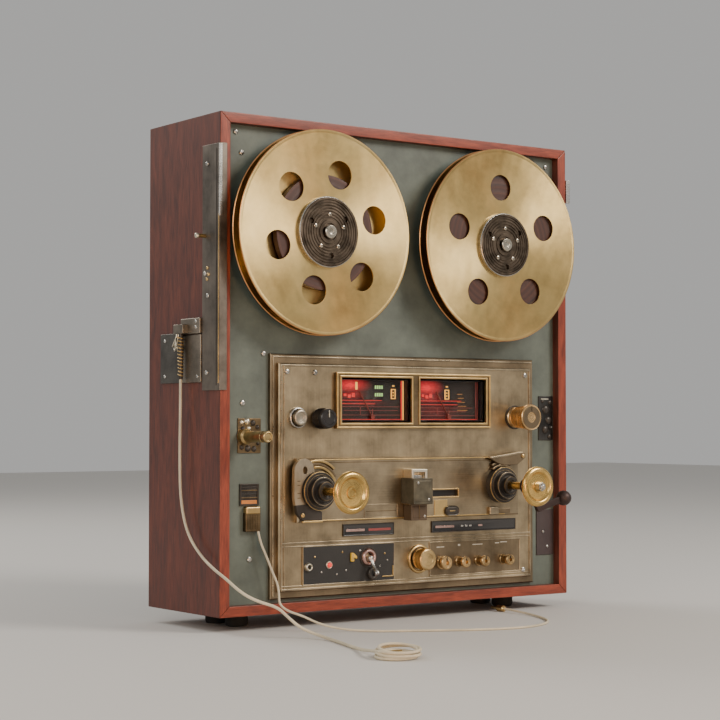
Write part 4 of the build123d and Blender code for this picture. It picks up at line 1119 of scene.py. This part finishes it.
def make_housing(front):
    blocks = []
    for name, x, z, out in HOUSINGS:
        block = cube(f"housing_{name}", x, (front - out, front), z)
        pick_faces(block, lambda c, n: n.y < -0.9)
        bpy.ops.mesh.inset(thickness=2.0 * MM)
        bpy.ops.transform.translate(value=(0, 0.5 * MM, 0))
        bpy.ops.mesh.inset(thickness=0.7 * MM)
        bpy.ops.transform.translate(value=(0, -0.4 * MM, 0))
        leave()
        blocks.append(rounded(block, 0.7, 3))
    keep(blocks[0], OLIVE, stands_for=("head_housing",), slot="head_olive")
    keep(blocks[1], UMBER, stands_for=("head_housing",))
    bar("housing_seam", (-8.7, 13.2), (front - 12.4, front), (89.9, 91.0), BRONZE, 0.3)
    bar("housing_split", (2.6, 3.4), (front - 12.3, front - 11), (77.5, 89.5), BRONZE, 0.2)
    for i, (sx, sz, sy) in enumerate(((-3.5, 109.5, 18.6), (8.5, 94.5, 18.6), (9.0, 79.5, 11.6))):
        keep(screw(f"housing_screw_{i}", (sx, front - sy, sz), 1.3, 0.9, 40 * i), STEEL)
    cap = cube("cap_frame", CAP[0], (front - 13, front), CAP[1])
    carve(cap, cube("gap", (-3.6, 9.1), (front - 16, front - 3), (112, 118.6)))
    keep(rounded(cap, 0.6, 3), IVORY_METAL, stands_for=("head_cap",), slot="chrome_bright")
    bar("cap_inside", (-3.4, 8.9), (front - 9, front - 3), (113.0, 116.0), STEEL, 0.5)


# curved bars beside the collars: name, outer and inner radius, first and last angle, how far out, finish
ARCHES = (("outer", 27.0, 24.6, 112, 46, 3.2, BRASS), ("middle", 24.4, 21.8, 106, 30, 2.0, NICKEL_DARK),
          ("inner", 21.6, 19.0, 100, 22, 3.0, BRASS))
HOODS = (("outer", 22.5, 20.0, 58, 122, 3.4, NICKEL_DARK), ("inner", 19.6, 17.2, 50, 128, 4.4, NICKEL_DARK))


def make_brackets(front):
    x, z = POSTS["capstan"]
    left = outline("left_bracket", arc_points((x - 14.2, z + 17.6), 10.3, 30, 180, 14) + [
        (x - 24.6, z + 4), (x - 24.6, z - 6), (x - 23.5, z - 12), (x - 8, z - 12), (x - 4, z + 17.6)],
        front - 4, front)
    carve(left, rod("bore", (x, front, z), 17.0, 20, sides=64))
    points = [(x - 13.5 + (px - x) * 0.75, z + 18 + (pz - z) * 1.1) for px, pz in stadium(x, z, 6.2, 6.1)]
    slot = outline("slot", points, front - 6, front + 2)
    carve(left, slot)
    keep(rounded(left, 0.8, 3), ALUMINIUM, stands_for=("end_brackets",), slot="bracket_aluminium")
    for i, dz in enumerate((8.5, 5.0, -2.0, -6.0)):
        bar(f"bracket_mark_{i}", (x - 21.5, x - 18.6), (front - 4.2, front - 3.8), (z + dz, z + dz + 0.7),
            BRONZE, 0.06)
    lower = outline("left_bracket_foot", [
        (x - 23.6, z - 11.5), (x - 22, z - 19), (x - 16, z - 25.5), (x + 4, z - 26), (x + 4, z - 18),
        (x - 8, z - 12), (x - 12, z - 11)], front - 4.6, front)
    keep(rounded(lower, 0.8, 3), GUNMETAL, stands_for=("end_brackets",))
    bar("bracket_sill", (x - 17, x + 4), (front - 5.2, front - 3.6), (z - 27.0, z - 25.2), BRASS, 0.4)
    keep(screw("bracket_screw", (x - 16.5, front - 4.6, z - 20.5), 2.0, 1.2, 35), BRASS)
    for name, outer, inner, start, stop, out, finish in ARCHES:
        arch = curved_bar(f"bracket_arch_{name}", (x, z), outer, inner, start, stop, front - out, front)
        keep(rounded(arch, 0.7, 3), finish)
    x, z = POSTS["crank"]
    wing = outline("right_wing", [
        (x - 17, z + 25.6), (x + 24, z + 30.5), (x + 27.5, z + 29.5), (x + 28, z + 25), (x + 18, z + 18.6),
        (x + 2, z + 18.2), (x - 6, z + 20)], front - 5, front)
    keep(rounded(wing, 0.8, 3), NICKEL_DARK, stands_for=("end_brackets",))
    for name, outer, inner, start, stop, out, finish in HOODS:
        hood = curved_bar(f"right_hood_{name}", (x, z), outer, inner, start, stop, front - out, front)
        keep(rounded(hood, 0.7, 3), finish)
    lip = outline("wing_lip", [
        (x - 17, z + 25.8), (x + 24, z + 30.8), (x + 24, z + 29.2), (x - 12, z + 24.6)], front - 6, front - 1)
    keep(rounded(lip, 0.4, 2), NICKEL_EDGE)
    keep(screw("wing_rivet", (x + 24.2, front - 5, z + 26.6), 2.0, 1.4, 15), BRASS)
    bar("right_foot", (x - 14, x - 3), (front - 3, front), (z - 27, z - 20), NICKEL_EDGE, 0.8,
        stands_for=("end_brackets",))
    bar("right_foot_tail", (x - 4, x + 12), (front - 1.6, front), (z - 26, z - 21.5), NICKEL_DARK, 0.6)


# ------------------------------------------------------------------ jack panel, knobs and switches

LEVEL_AT = (128.4, 167.7)
MODE_AT = (-93.7, 166.4)
PUSH_AT = (-116.5, 167.0)
OUTPUT_AT = (15.5, 40.4)
TOGGLE_AT = (-42.0, 44.5)
LAMP_AT = (-84.0, 39.4)
TOGGLE_TILT = 38
SHAFT_R = 1.5
SHAFT_END = 14
# small knobs: x, z, radius and length
SMALL_KNOBS = (
    (41.0, 36.0, 6.2, 9.0), (61.3, 36.0, 5.0, 12.0), (84.2, 36.0, 5.0, 12.0), (113.7, 36.0, 5.0, 12.0))
# studs on the jack panel: x and z
STUDS = (
    (-99, 47), (-92, 33.5), (-76, 31), (-70, 50), (-66, 34), (-51, 50.5), (-24, 47), (-21, 41), (-29.5, 36))
# dark window strips: first and last x, first and last z
STRIPS = {"left": (-68.0, -14.0, 64.0, 73.4), "right": (30.0, 128.0, 64.0, 73.0)}


def fluted_knob(name, node, x, z, profile, finish, body, slot, flute=None, steps=64, depth=0.35):
    """A lathe knob; its side faces are fluted where flute(radius, y) is true."""
    knob = turned(f"{name}_grip", (x, 0, z), profile, steps=steps)
    if flute:
        knurled(knob, lambda c, n: abs(n.y) < 0.5 and flute(math.hypot(c.x - x, c.z - z), c.y), 0.12, depth)
    return keep(smooth(knob, 30), finish, body, (node,), slot)


def make_knobs():
    front = span("control_plate")[1][0]
    x, z = LEVEL_AT
    tip = front - 25
    copper = turned_metal("level_copper", (0.88, 0.58, 0.28), (x, 0, z), 0.22, 0.12, 0.6)
    fluted_knob("level", "level_knob", x, z, [
        (0, tip + 0.6), (4.0, tip + 0.6), (4.4, tip + 0.2), (10.6, tip + 0.2), (11.4, tip), (11.9, tip + 0.7),
        (11.9, tip + 3.4), (11.2, tip + 4.2), (10.9, tip + 5.4), (9.6, front - 5), (9.0, front - 2.4),
        (9.6, front - 1.6), (9.6, front - 1.0), (SHAFT_R, front - 1.0), (SHAFT_R, SHAFT_END), (0, SHAFT_END)],
        copper, "level", "knob_brass", lambda r, y: y > tip + 5.5 and y < front - 5, depth=0.25)
    face = [(4.8, tip + 0.25), (4.8, tip - 0.1), (10.2, tip - 0.1), (10.4, tip + 0.25)]
    keep(rounded(hoop("level_face", (x, 0, z), face), 0.1), NICKEL_DARK, "level")
    bar("level_pointer", (x - 0.6, x + 0.6), (tip - 0.1, tip + 0.9), (z + 5.5, z + 10.5), BLACK_PLASTIC, 0.15,
        body="level")
    ring = band("level_ring", (x, 0, z), (9.8, 11.2), (front - 0.9, front + 0.1))
    keep(rounded(ring, 0.2), GUNMETAL)

    x, z = MODE_AT
    tip = front - 16
    fluted_knob("mode", "mode_knob", x, z, [
        (0, tip + 0.8), (5.4, tip + 0.8), (6.0, tip), (7.4, tip), (8.4, tip + 0.9), (8.9, tip + 3),
        (9.0, tip + 4), (9.0, front - 3), (8.2, front - 1.4), (8.2, front - 1.0), (SHAFT_R, front - 1.0),
        (SHAFT_R, SHAFT_END), (0, SHAFT_END)], BLACK_PLASTIC, "mode", "knob_black", lambda r, y: r > 8.8, 48,
        0.5)
    bar("mode_pointer", (x - 0.5, x + 0.5), (tip - 0.1, tip + 1.2), (z + 1.0, z + 7.2), IVORY_METAL, 0.15,
        body="mode")

    x, z = OUTPUT_AT
    tip = front - 14
    gold = turned_metal("output_gold", (0.80, 0.56, 0.26), (x, 0, z), 0.28, 0.14, 0.5)
    fluted_knob("output", "output_knob", x, z, [
        (0, tip + 0.5), (5.0, tip + 0.5), (5.4, tip + 0.1), (8.2, tip), (9.2, tip + 0.6), (9.5, tip + 1.6),
        (9.5, front - 4.4), (9.0, front - 3.6), (9.3, front - 2.6), (SHAFT_R, front - 2.6),
        (SHAFT_R, SHAFT_END), (0, SHAFT_END)], gold, "output", "knob_brass", lambda r, y: r > 9.3, 56, 0.4)
    ring = [
        (10.2, front - 0.2), (10.4, front - 1.7), (11.2, front - 2.0), (12.4, front - 1.6),
        (13.0, front - 0.4), (13.0, front + 0.1), (10.2, front + 0.1)]
    keep(rounded(hoop("output_ring", (x, 0, z), ring), 0.25), BRASS, stands_for=("socket_rings",),
        slot="chrome_bright")

    for i, (x, z, r, length) in enumerate(SMALL_KNOBS, 1):
        tip = front - length
        knob_gold = turned_metal(f"small_gold_{i}", (0.74, 0.50, 0.24), (x, 0, z), 0.3, 0.2, 0.5)
        fluted_knob(f"small_{i}", f"small_knob_{i}", x, z, [
            (0, tip + 2.2), (r * 0.30, tip + 2.2), (r * 0.36, tip + 0.4), (r * 0.62, tip + 0.4),
            (r * 0.7, tip), (r * 0.88, tip), (r, tip + 0.8), (r, tip + 2.6), (r * 0.82, tip + 3.4),
            (r * 0.82, front - 2.2), (r * 0.95, front - 1.4), (r * 0.95, front - 0.6), (SHAFT_R, front - 0.6),
            (SHAFT_R, SHAFT_END), (0, SHAFT_END)], knob_gold, f"small_{i}", "knob_brass", lambda rr, y,
            r=r: rr > r * 0.97, 32, 0.35)
        bar(f"small_pointer_{i}", (x - 0.4, x + 0.4), (tip - 0.1, tip + 0.6), (z + r * 0.35, z + r * 0.9),
            BLACK_PLASTIC, 0.1, body=f"small_{i}")


def make_push_button():
    x, z = PUSH_AT
    front = span("control_plate")[1][0]
    ring = [
        (7.5, front + 0.1), (7.5, front - 2.4), (8.0, front - 3.0), (8.8, front - 2.6), (9.2, front - 1.2),
        (9.2, front + 0.1)]
    keep(rounded(hoop("push_ring", (x, 0, z), ring), 0.2), STEEL, stands_for=("socket_rings",))
    tip = front - 7
    profile = [
        (0, tip + 1.0), (2.2, tip + 1.0), (2.5, tip + 0.6), (4.2, tip + 0.6), (4.5, tip + 0.2),
        (5.6, tip + 0.1), (6.5, tip + 0.4), (7.0, tip + 1.2), (7.0, 4.4), (0, 4.4)]
    cap = turned("push_cap", (x, 0, z), profile)
    finish = turned_metal("push_nickel", (0.46, 0.40, 0.31), (x, 0, z), 0.3, 0.12, 0.5)
    keep(rounded(cap, 0.15), finish, "push", ("push_button",), "chrome_bright")


def make_jacks():
    x, y, z = span("jack_panel")
    panel = cube("jack_plate", x, (y[0], y[1]), z)
    carve(panel, rod("hole", (TOGGLE_AT[0], y[0], TOGGLE_AT[1]), 3.6, 8, sides=32))
    keep(rounded(panel, 0.4, 2), BLACK_CRACKLE, stands_for=("jack_panel",), slot="panel_black")
    rect_frame("jack_plate_edge", grown(x, 0.9), (y[1] - 1.3, y[1] + 0.1), grown(z, 0.9), 1.0, NICKEL_EDGE,
        0.25)
    front = y[0]

    def socket(name, sx, sz, outer, bore, out, finish):
        profile = [
            (bore, front + 1.0), (bore, front - out + 0.5), (bore + 0.5, front - out),
            (outer - 1.2, front - out), (outer - 0.5, front - out + 0.7), (outer, front - 0.5),
            (outer, front + 0.1), (bore + 1.0, front + 0.1)]
        keep(rounded(hoop(name, (sx, 0, sz), profile, steps=48), 0.2), finish, stands_for=("socket_rings",))
        keep(smooth(rod(f"{name}_bore", (sx, front - 0.2, sz), bore + 0.1, 0.5, sides=32)), BLACK_PLASTIC)

    socket("phone_socket", -106.0, 38.6, 3.9, 1.9, 3.0, IVORY_METAL)
    socket("blank_socket", -38.0, 30.0, 6.0, 2.6, 3.4, GUNMETAL)
    for i, (mx, mz) in enumerate(STUDS):
        keep(screw(f"jack_stud_{i}", (mx, front, mz), 0.9, 0.6, 33 * i), STEEL if i % 3 else BRASS)
    lamp = turned("red_lamp", (LAMP_AT[0], front, LAMP_AT[1]), [
        (0, -2.8), (1.0, -2.6), (1.9, -1.9), (2.2, -0.8), (2.2, 0), (0, 0)], steps=32)
    keep(smooth(lamp, 60), LAMP_RED, stands_for=("lamp_windows",), slot="lamp_red")
    bezel = hoop("red_lamp_bezel", (LAMP_AT[0], front, LAMP_AT[1]), [
        (2.3, 0.1), (2.3, -0.9), (2.8, -1.1), (3.3, -0.6), (3.4, 0.1)], steps=32)
    keep(rounded(bezel, 0.15), IVORY_METAL)
    tab = outline("amber_tab", [
        (-61.5, 41.5), (-58.5, 41.5), (-58.5, 45.0), (-55.4, 43.6), (-55.4, 45.8), (-59.0, 49.0),
        (-61.5, 49.0)], front - 2, front)
    keep(rounded(tab, 0.3, 2), AMBER_PAINT, stands_for=("lamp_windows",))
    bar("amber_slot", (-60.6, -59.2), (front - 2.2, front - 1.8), (42.5, 48.0), BRASS, 0.1)
    bar("corner_clip_level", (-27.0, -14.6), (front - 0.8, front + 0.1), (26.4, 27.4), BRASS, 0.2)
    bar("corner_clip_upright", (-15.6, -14.6), (front - 0.8, front + 0.1), (26.4, 36.0), BRASS, 0.2)

    x, z = TOGGLE_AT
    ring = [
        (3.7, front + 0.1), (3.7, front - 1.0), (4.3, front - 2.2), (5.2, front - 3.0), (6.4, front - 2.8),
        (7.4, front - 1.6), (7.8, front + 0.1)]
    keep(rounded(hoop("toggle_ring", (x, 0, z), ring, steps=48), 0.15), ROSE_METAL,
        stands_for=("socket_rings",), slot="chrome_bright")
    groove = [(7.9, front + 0.1), (7.9, front - 0.8), (9.0, front - 0.8), (9.2, front + 0.1)]
    keep(rounded(hoop("toggle_washer", (x, 0, z), groove, steps=48), 0.15), GUNMETAL)
    lever = turned("toggle_stick", (x, front - 2.5, z), [
        (0, 1.0), (2.4, 0.4), (3.1, -1.2), (2.6, -2.4), (1.5, -3.4), (1.5, -12), (2.1, -14), (2.7, -16.5),
        (2.3, -18), (0, -18.4)][::-1], "Z", 32)
    spun_round(lever, (x, front - 2.5, z), -TOGGLE_TILT, "X")
    keep(smooth(lever, 60), STEEL, "toggle", ("toggle_lever",), "chrome_bright")


# lines behind the strips' glass: start and end as shares of the width, and finish
STRIP_LINES = {
    "left": ((0.05, 0.42, ROSE_METAL), (0.5, 0.95, ROSE_INK)),
    "right": ((0.04, 0.26, ROSE_METAL), (0.34, 0.37, STEEL), (0.39, 0.42, STEEL), (0.44, 0.47, STEEL),
              (0.55, 0.6, ROSE_METAL)),
}


def make_windows():
    front = span("control_plate")[1][0]
    for name, (x0, x1, z0, z1) in STRIPS.items():
        pane = cube(f"{name}_strip", (x0, x1), (front - 1.0, front + 0.1), (z0, z1))
        pick_faces(pane, lambda c, n: n.y < -0.9)
        bpy.ops.mesh.inset(thickness=0.8 * MM)
        bpy.ops.transform.translate(value=(0, 0.35 * MM, 0))
        leave()
        keep(rounded(pane, 0.2), SMOKED, stands_for=("lamp_windows",))
        rect_frame(f"{name}_strip_frame", grown((x0, x1), 0.7), (front - 1.3, front), grown((z0, z1), 0.7),
            0.7, GUNMETAL, 0.2)
        wide, mid = x1 - x0, (z0 + z1) / 2
        for i, (u0, u1, finish) in enumerate(STRIP_LINES[name]):
            tall = 1.3 if u1 - u0 > 0.1 else 1.0
            bar(f"{name}_strip_mark_{i}", (x0 + u0 * wide, x0 + u1 * wide), (front - 0.8, front - 0.5),
                (mid - tall, mid + tall * 0.6), finish, 0.1)


def dome(name, place, radius, out, shoulder, height, finish, steps):
    """A low dome facing the front; shoulder gives the shares of its radius at the top and at height."""
    profile = [
        (0, -out), (radius * shoulder[0], -out), (radius * shoulder[1], -out * height), (radius, 0), (0, 0)]
    keep(smooth(turned(name, place, profile, steps=steps), 60), finish)


# domes on the relief plate and on the upper trim plate: x, z, radius and how far out
RELIEF_DOMES = (
    (3.5, 26, 2.2, 1.8), (9, 27, 3.0, 2.4), (15, 25.5, 2.6, 2.0), (19.5, 22, 2.0, 1.6), (5, 20.5, 2.4, 2.0),
    (11, 21, 2.0, 1.6), (16, 3.5, 2.6, 1.8), (10, 4, 3.0, 2.2), (4, 5, 2.2, 1.6), (20, 8, 1.6, 1.4))
TRIM_DOMES = (
    (9, 29, 4.6, 1.9), (12, 19, 3.8, 1.7), (8, 10, 4.0, 1.8), (14, 12.5, 1.5, 2.6), (13, 3.5, 2.4, 1.4),
    (5, 37, 2.0, 1.2), (14, 36, 2.4, 1.3))
POST_AT = (18, 151.0)
POST_LONG = 39.5


def make_strips():
    """The fittings on the two narrow strips beside the control plate."""
    x0, x1 = span("back_cover")[0]
    y = FACE_Y
    plate = (x0 + 12, x0 + 35), (137.0, 166.5)
    bar("relief_plate", plate[0], (y - 1.0, y), plate[1], BRONZE, 0.3, stands_for=("trim_plates",),
        slot="trim_dark")
    for i, (dx, dz, r, out) in enumerate(RELIEF_DOMES):
        dome(f"relief_dome_{i}", (plate[0][0] + dx, y - 1, plate[1][0] + dz), r, out, (0.4, 0.75), 0.6,
             IVORY_METAL if i in (0, 1, 5) else GUNMETAL, 24)
    cx, cz = x0 + POST_AT[0], POST_AT[1]
    end = y - POST_LONG
    post = turned("post", (cx, 0, cz), [
        (0, end + 1.2), (3.0, end + 1.2), (3.4, end), (4.2, end), (4.8, end + 0.7), (4.8, end + 5),
        (4.4, end + 5.4), (4.4, end + 7), (4.8, end + 7.4), (4.8, y - 8), (6.5, y - 5.6), (6.5, y - 2),
        (7.2, y - 1), (0, y - 1)], steps=48)
    post_gold = turned_metal("post_gold", (0.80, 0.58, 0.27), (cx, 0, cz), 0.25, 0.14, 0.8)
    keep(rounded(post, 0.2), post_gold, stands_for=("guide_post",), slot="knob_brass")
    left, low = x0 + 14, 92.5
    rect_frame("slot_frame", (left, left + 19), (y - 1.5, y), (low, low + 18.5), 1.6, GUNMETAL, 0.3,
        stands_for=("trim_plates",))
    bar("slot_inside", (left + 1, left + 18), (y - 0.5, y), (low + 4, low + 17.5), DARK_STEEL, 0.1)
    for i, dz in enumerate((6.2, 9.2, 12.4, 15.0)):
        bar(f"slot_rail_{i}", (left + 1.5, left + 17.5), (y - 1.2, y), (low + dz, low + dz + 0.9),
            GUNMETAL if i % 2 else BRONZE, 0.15)
    bar("slot_orange", (left + 1.2, left + 17.0), (y - 1.4, y), (low + 1.4, low + 4.6), ORANGE_PAINT, 0.3)
    for name, xs, zs in (("upper", (x1 - 19, x1 - 1), (146.0, 188.0)),
            ("lower", (x1 - 22, x1 - 1), (37.0, 80.0))):
        bar(f"{name}_trim", xs, (y - 1.0, y), zs, DARK_STEEL if name == "upper" else PLUM, 0.4,
            stands_for=("trim_plates",))
    xs = x1 - 19
    bar("trim_mark", (xs + 3, xs + 12), (y - 1.5, y - 0.9), (184.6, 185.8), IVORY_METAL, 0.15)
    for i, (dx, dz, r, out) in enumerate(TRIM_DOMES):
        dome(f"trim_dome_{i}", (xs + dx, y - 0.9, 146 + dz), r, out, (0.5, 0.85), 0.55,
            STEEL if i == 3 else GUNMETAL, 28)
    for i, (dx, dz) in enumerate(((13, 8), (8, 22))):
        keep(screw(f"lower_trim_rivet_{i}", (x1 - 22 + dx, y - 1.0, 37 + dz), 1.4, 0.9, 20 + 60 * i), STEEL)


# ------------------------------------------------------------------ side and back

def make_front_plug():
    x, y, z = span("front_plug")
    body = cube("front_plug_body", x, (y[0] + 0.4, y[1]), (z[0], z[1] - 5.0))
    body = keep(rounded(body, 0.8, 3), BRONZE, stands_for=("front_plug",), slot="hub_bronze")
    top = cube("front_plug_top", grown(x, -0.2), (y[0], y[1]), (z[1] - 6.2, z[1]))
    top = keep(rounded(top, 1.2, 3), BRASS, stands_for=("front_plug",))
    lines = []
    for i in range(5):
        line = cube(f"front_plug_rib_{i}", (x[0] + 2 + 2.5 * i, x[0] + 2.8 + 2.5 * i), (y[0], y[0] + 1),
            (z[0] + 2, z[1] - 7))
        lines.append(rounded(line, 0.15, 1))
    return [body, top, keep(joined("front_plug_ribs", lines), BRONZE)]


EXIT_AT = (-200.0, 55.0)
RELIEF_Z = (200.0, 238.0)
PLATE_T = 1.5


# the bracket's wire loops: radius, how much taller than wide, place from the exit in y and z, and lean
WIRE_LOOPS = ((5.4, 1.7, 6.2, -4.5, 24), (4.2, 2.0, 4.6, -3.5, 10), (6.2, 1.2, 7.6, -3.0, 38))


def make_strain_relief():
    """A tapered coil spring round a dark sleeve, hung from the bracket's eye."""
    x, y = EXIT_AT
    low, top = RELIEF_Z
    clear()
    bpy.ops.mesh.primitive_circle_add(vertices=10, radius=0.55 * MM, location=at(x + 2.75, y, top - 0.8),
        rotation=(math.pi / 2, 0, 0), fill_type="NOTHING")
    spring = named("relief_spring")
    axis = bpy.data.objects.new("relief_axis", None)
    bpy.context.scene.collection.objects.link(axis)
    axis.location = at(x, y, top)
    modify(spring, "SCREW", object=axis, axis="Z", angle=2 * math.pi, screw_offset=-2.9 * MM, iterations=12,
        steps=24, render_steps=24, use_normal_calculate=True)
    bpy.data.objects.remove(axis)
    centre = at(x, y, 0)
    for vertex in spring.data.vertices:
        share = (at(0, 0, top).z - vertex.co.z) / ((top - low) * MM)
        factor = 1 - 0.28 * min(1, max(0, share))
        vertex.co.x = centre.x + (vertex.co.x - centre.x) * factor
        vertex.co.y = centre.y + (vertex.co.y - centre.y) * factor
    keep(smooth(spring, 60), BRASS, stands_for=("strain_relief",), slot="cord_cream")
    sleeve = hoop("relief_sleeve", (x, y, 0), [
        (1.3, low), (1.8, low), (2.1, low + 3), (2.4, top - 4), (2.2, top), (2.2, top + 9), (1.3, top + 9)],
        "Z", 32)
    sleeve = keep(smooth(sleeve), GUNMETAL, stands_for=("strain_relief",))
    loops = []
    for r, rise, dy, dz, lean in WIRE_LOOPS:
        middle_at = (x - 0.4, y + dy, top + dz)
        clear()
        bpy.ops.mesh.primitive_torus_add(major_radius=r * MM, minor_radius=0.6 * MM, major_segments=48,
            minor_segments=10, location=at(*middle_at), rotation=(math.radians(lean), 0, 0))
        loop = named("loop")
        spun_round(loop, middle_at, 90, "Y")
        edit(loop)
        bpy.ops.transform.resize(value=(1, 1, rise), center_override=at(*middle_at))
        leave()
        loops.append(smooth(spun_round(loop, middle_at, lean, "X"), 60))
    keep(joined("relief_wire_loops", loops), IVORY_METAL)
    return [spring, sleeve]


# screws and studs on the side plate, and bolts on the bracket: y and z, with the bolts' depth
SIDE_SCREWS = ((19, 382), (22, 289), (17.6, 270), (19.4, 205))
SIDE_STUDS = ((18.4, 293.5), (16.6, 288.0), (19.0, 284.0))
BRACKET_BOLTS = (
    (34, 244, 3.2), (53, 244, 3.2), (34, 249, 3.2), (33, 202, 2.3), (90, 203, 1.4), (90, 234, 1.4))
PEG_AT = (23, 321)


def make_side():
    left = span("cabinet_left_side")[0][0]
    _, y, z = span("side_plate")
    plate = cube("side_skin", (left - PLATE_T, left), (y[0] + 1.4, y[1]), z)
    keep(rounded(plate, 0.4, 2), SIDE_STEEL, stands_for=("side_plate",), slot="side_steel")
    bar("side_edge", (left - PLATE_T, left + 6), (y[0], y[0] + 1.2), (z[0], z[1]), SIDE_STEEL, 0.3,
        stands_for=("side_plate",))
    # a brighter steel strip laid over the top of the plate's front bend: painted highlight where the light
    # catches that edge
    bar("side_edge_highlight", (left - 1.9, left + 1.4), (y[0] - 0.4, y[0] + 1.6), (z[1] - 62, z[1] - 1), STEEL,
        0.6)
    bar("side_edge_line", (left - 1.9, left - 1.2), (y[0] + 0.8, y[0] + 2.0), (z[0] + 6, z[1] - 60), BRASS,
        0.2)
    bar("side_groove", (left - 1.8, left - 1.2), (y[0] + 4.6, y[0] + 5.4), (z[0] + 4, z[1] - 4), GUNMETAL,
        0.15)

    def side_screw(name, sy, sz, r, out, finish):
        head = turned(name, (left - PLATE_T, sy, sz), [
            (0, -out), (r * 0.6, -out), (r * 0.9, -out * 0.6), (r, 0), (0, 0)], "X", 24)
        keep(smooth(head, 50), finish, stands_for=("side_fittings",), slot="screw_steel")

    for i, (sy, sz) in enumerate(SIDE_SCREWS):
        side_screw(f"side_screw_{i}", sy, sz, 2.0, 1.2, STEEL)
    for i, (sy, sz) in enumerate(SIDE_STUDS):
        side_screw(f"side_stud_{i}", sy, sz, 1.5, 0.9, BRASS)
    peg = turned("side_peg", (left - PLATE_T, *PEG_AT), [
        (0, -9.1), (1.6, -9.1), (2.0, -8.5), (2.0, -6.2), (1.7, -5.8), (1.7, 0), (0, 0)], "X", 32)
    keep(rounded(peg, 0.15), BRASS, stands_for=("side_fittings",))
    tip = turned("side_peg_tip", (left - PLATE_T, *PEG_AT), [
        (0, -9.3), (1.5, -9.25), (2.15, -8.7), (2.15, -6.6), (1.8, -6.4), (0, -6.4)], "X", 32)
    keep(smooth(tip, 50), IVORY_METAL)

    bar("bracket_box", (left - 2.4, left), (28.0, 60.0), (197.0, 238.0), BRACKET_STEEL, 0.7,
        stands_for=("cord_bracket",), slot="bracket_aluminium")
    bar("bracket_lid", (left - 3.4, left), (28.0, 60.0), (238.6, 252.0), BRACKET_STEEL, 0.7,
        stands_for=("cord_bracket",))
    bar("bracket_wing", (left - PLATE_T, left), (60.0, 98.0), (197.0, 240.0), WING_STEEL, 0.5,
        stands_for=("cord_bracket",))
    for i, (sy, sz, out) in enumerate(BRACKET_BOLTS):
        head = turned(f"bracket_bolt_{i}", (left - out, sy, sz), [
            (0, -1.0), (0.9, -1.0), (1.5, -0.5), (1.6, 0), (0, 0)], "X", 20)
        keep(smooth(head, 50), STEEL)
    eye = cube("bracket_eye", (left - 9, left - 0.5), (47.0, 63.0), (239.0, 247.0))
    carve(eye, rod("bore", (*EXIT_AT, 243.0), 2.3, 20, "Z", 32))
    keep(rounded(eye, 0.8, 3), BRACKET_STEEL, stands_for=("cord_bracket",))

    right = span("cabinet_right_side")[0][1]
    clip = cube("side_clip", (right, right + 5), (-1.0, 6.0), (374.0, 396.0))
    carve(clip, cube("gap", (right + 1.5, right + 8), (1.0, 9.0), (378.0, 392.0)))
    keep(rounded(clip, 0.5, 2), STEEL, stands_for=("side_fittings",))


# x and z of the blank plate and of the vents' frame on the back
MAKER_PLATE = (-60, 10), (160, 196)
VENT_FRAME = (-75, 75), (244, 351)


def make_back():
    refinish("back_cover", FIBRE)
    refinish("rear_inlet", BLACK_PLASTIC)
    x, y, z = span("back_cover")
    for i in range(3):
        for j in range(2):
            place = (x[0] + 9 + j * (x[1] - x[0] - 18), y[1], z[0] + 10 + i * (z[1] - z[0] - 20) / 2)
            head = turned(f"back_screw_{i}_{j}", place, [
                (0, 1.6), (1.4, 1.6), (2.8, 1.0), (3.4, 0.2), (3.4, 0), (0, 0)], "Y", 28)
            carve(head, cube("slot", (place[0] - 4, place[0] + 4), (y[1] + 0.8, y[1] + 3),
                (place[2] - 0.4, place[2] + 0.4)))
            keep(smooth(head), STEEL)
    bar("maker_plate", MAKER_PLATE[0], (y[1] - 0.2, y[1] + 0.6), MAKER_PLATE[1], ALUMINIUM, 0.25)
    for i, (px, pz) in enumerate(((-56, 164), (6, 164), (-56, 192), (6, 192))):
        rivet = turned(f"maker_rivet_{i}", (px, y[1] + 0.5, pz), [(0, 0.9), (0.8, 0.8), (1.4, 0), (0, 0)],
            "Y", 20)
        keep(smooth(rivet, 60), STEEL)
    rect_frame("vent_frame", VENT_FRAME[0], (y[1] - 0.1, y[1] + 0.8), VENT_FRAME[1], 2.0, BLACK_PLASTIC, 0.3)
    for node, finish in (("drive_motors", DARK_STEEL), ("transformer", GUNMETAL),
            ("circuit_board", BOARD_GREEN)):
        refinish(node, finish)


# ------------------------------------------------------------------ the whole

clear()
make_camera()
make_cords()
make_cabinet()
for reel_name in REELS:
    make_reel(reel_name)
make_panels()
make_meters()
make_head()
make_knobs()
make_push_button()
make_jacks()
make_windows()
make_strips()
make_side()
make_back()
make_studio()
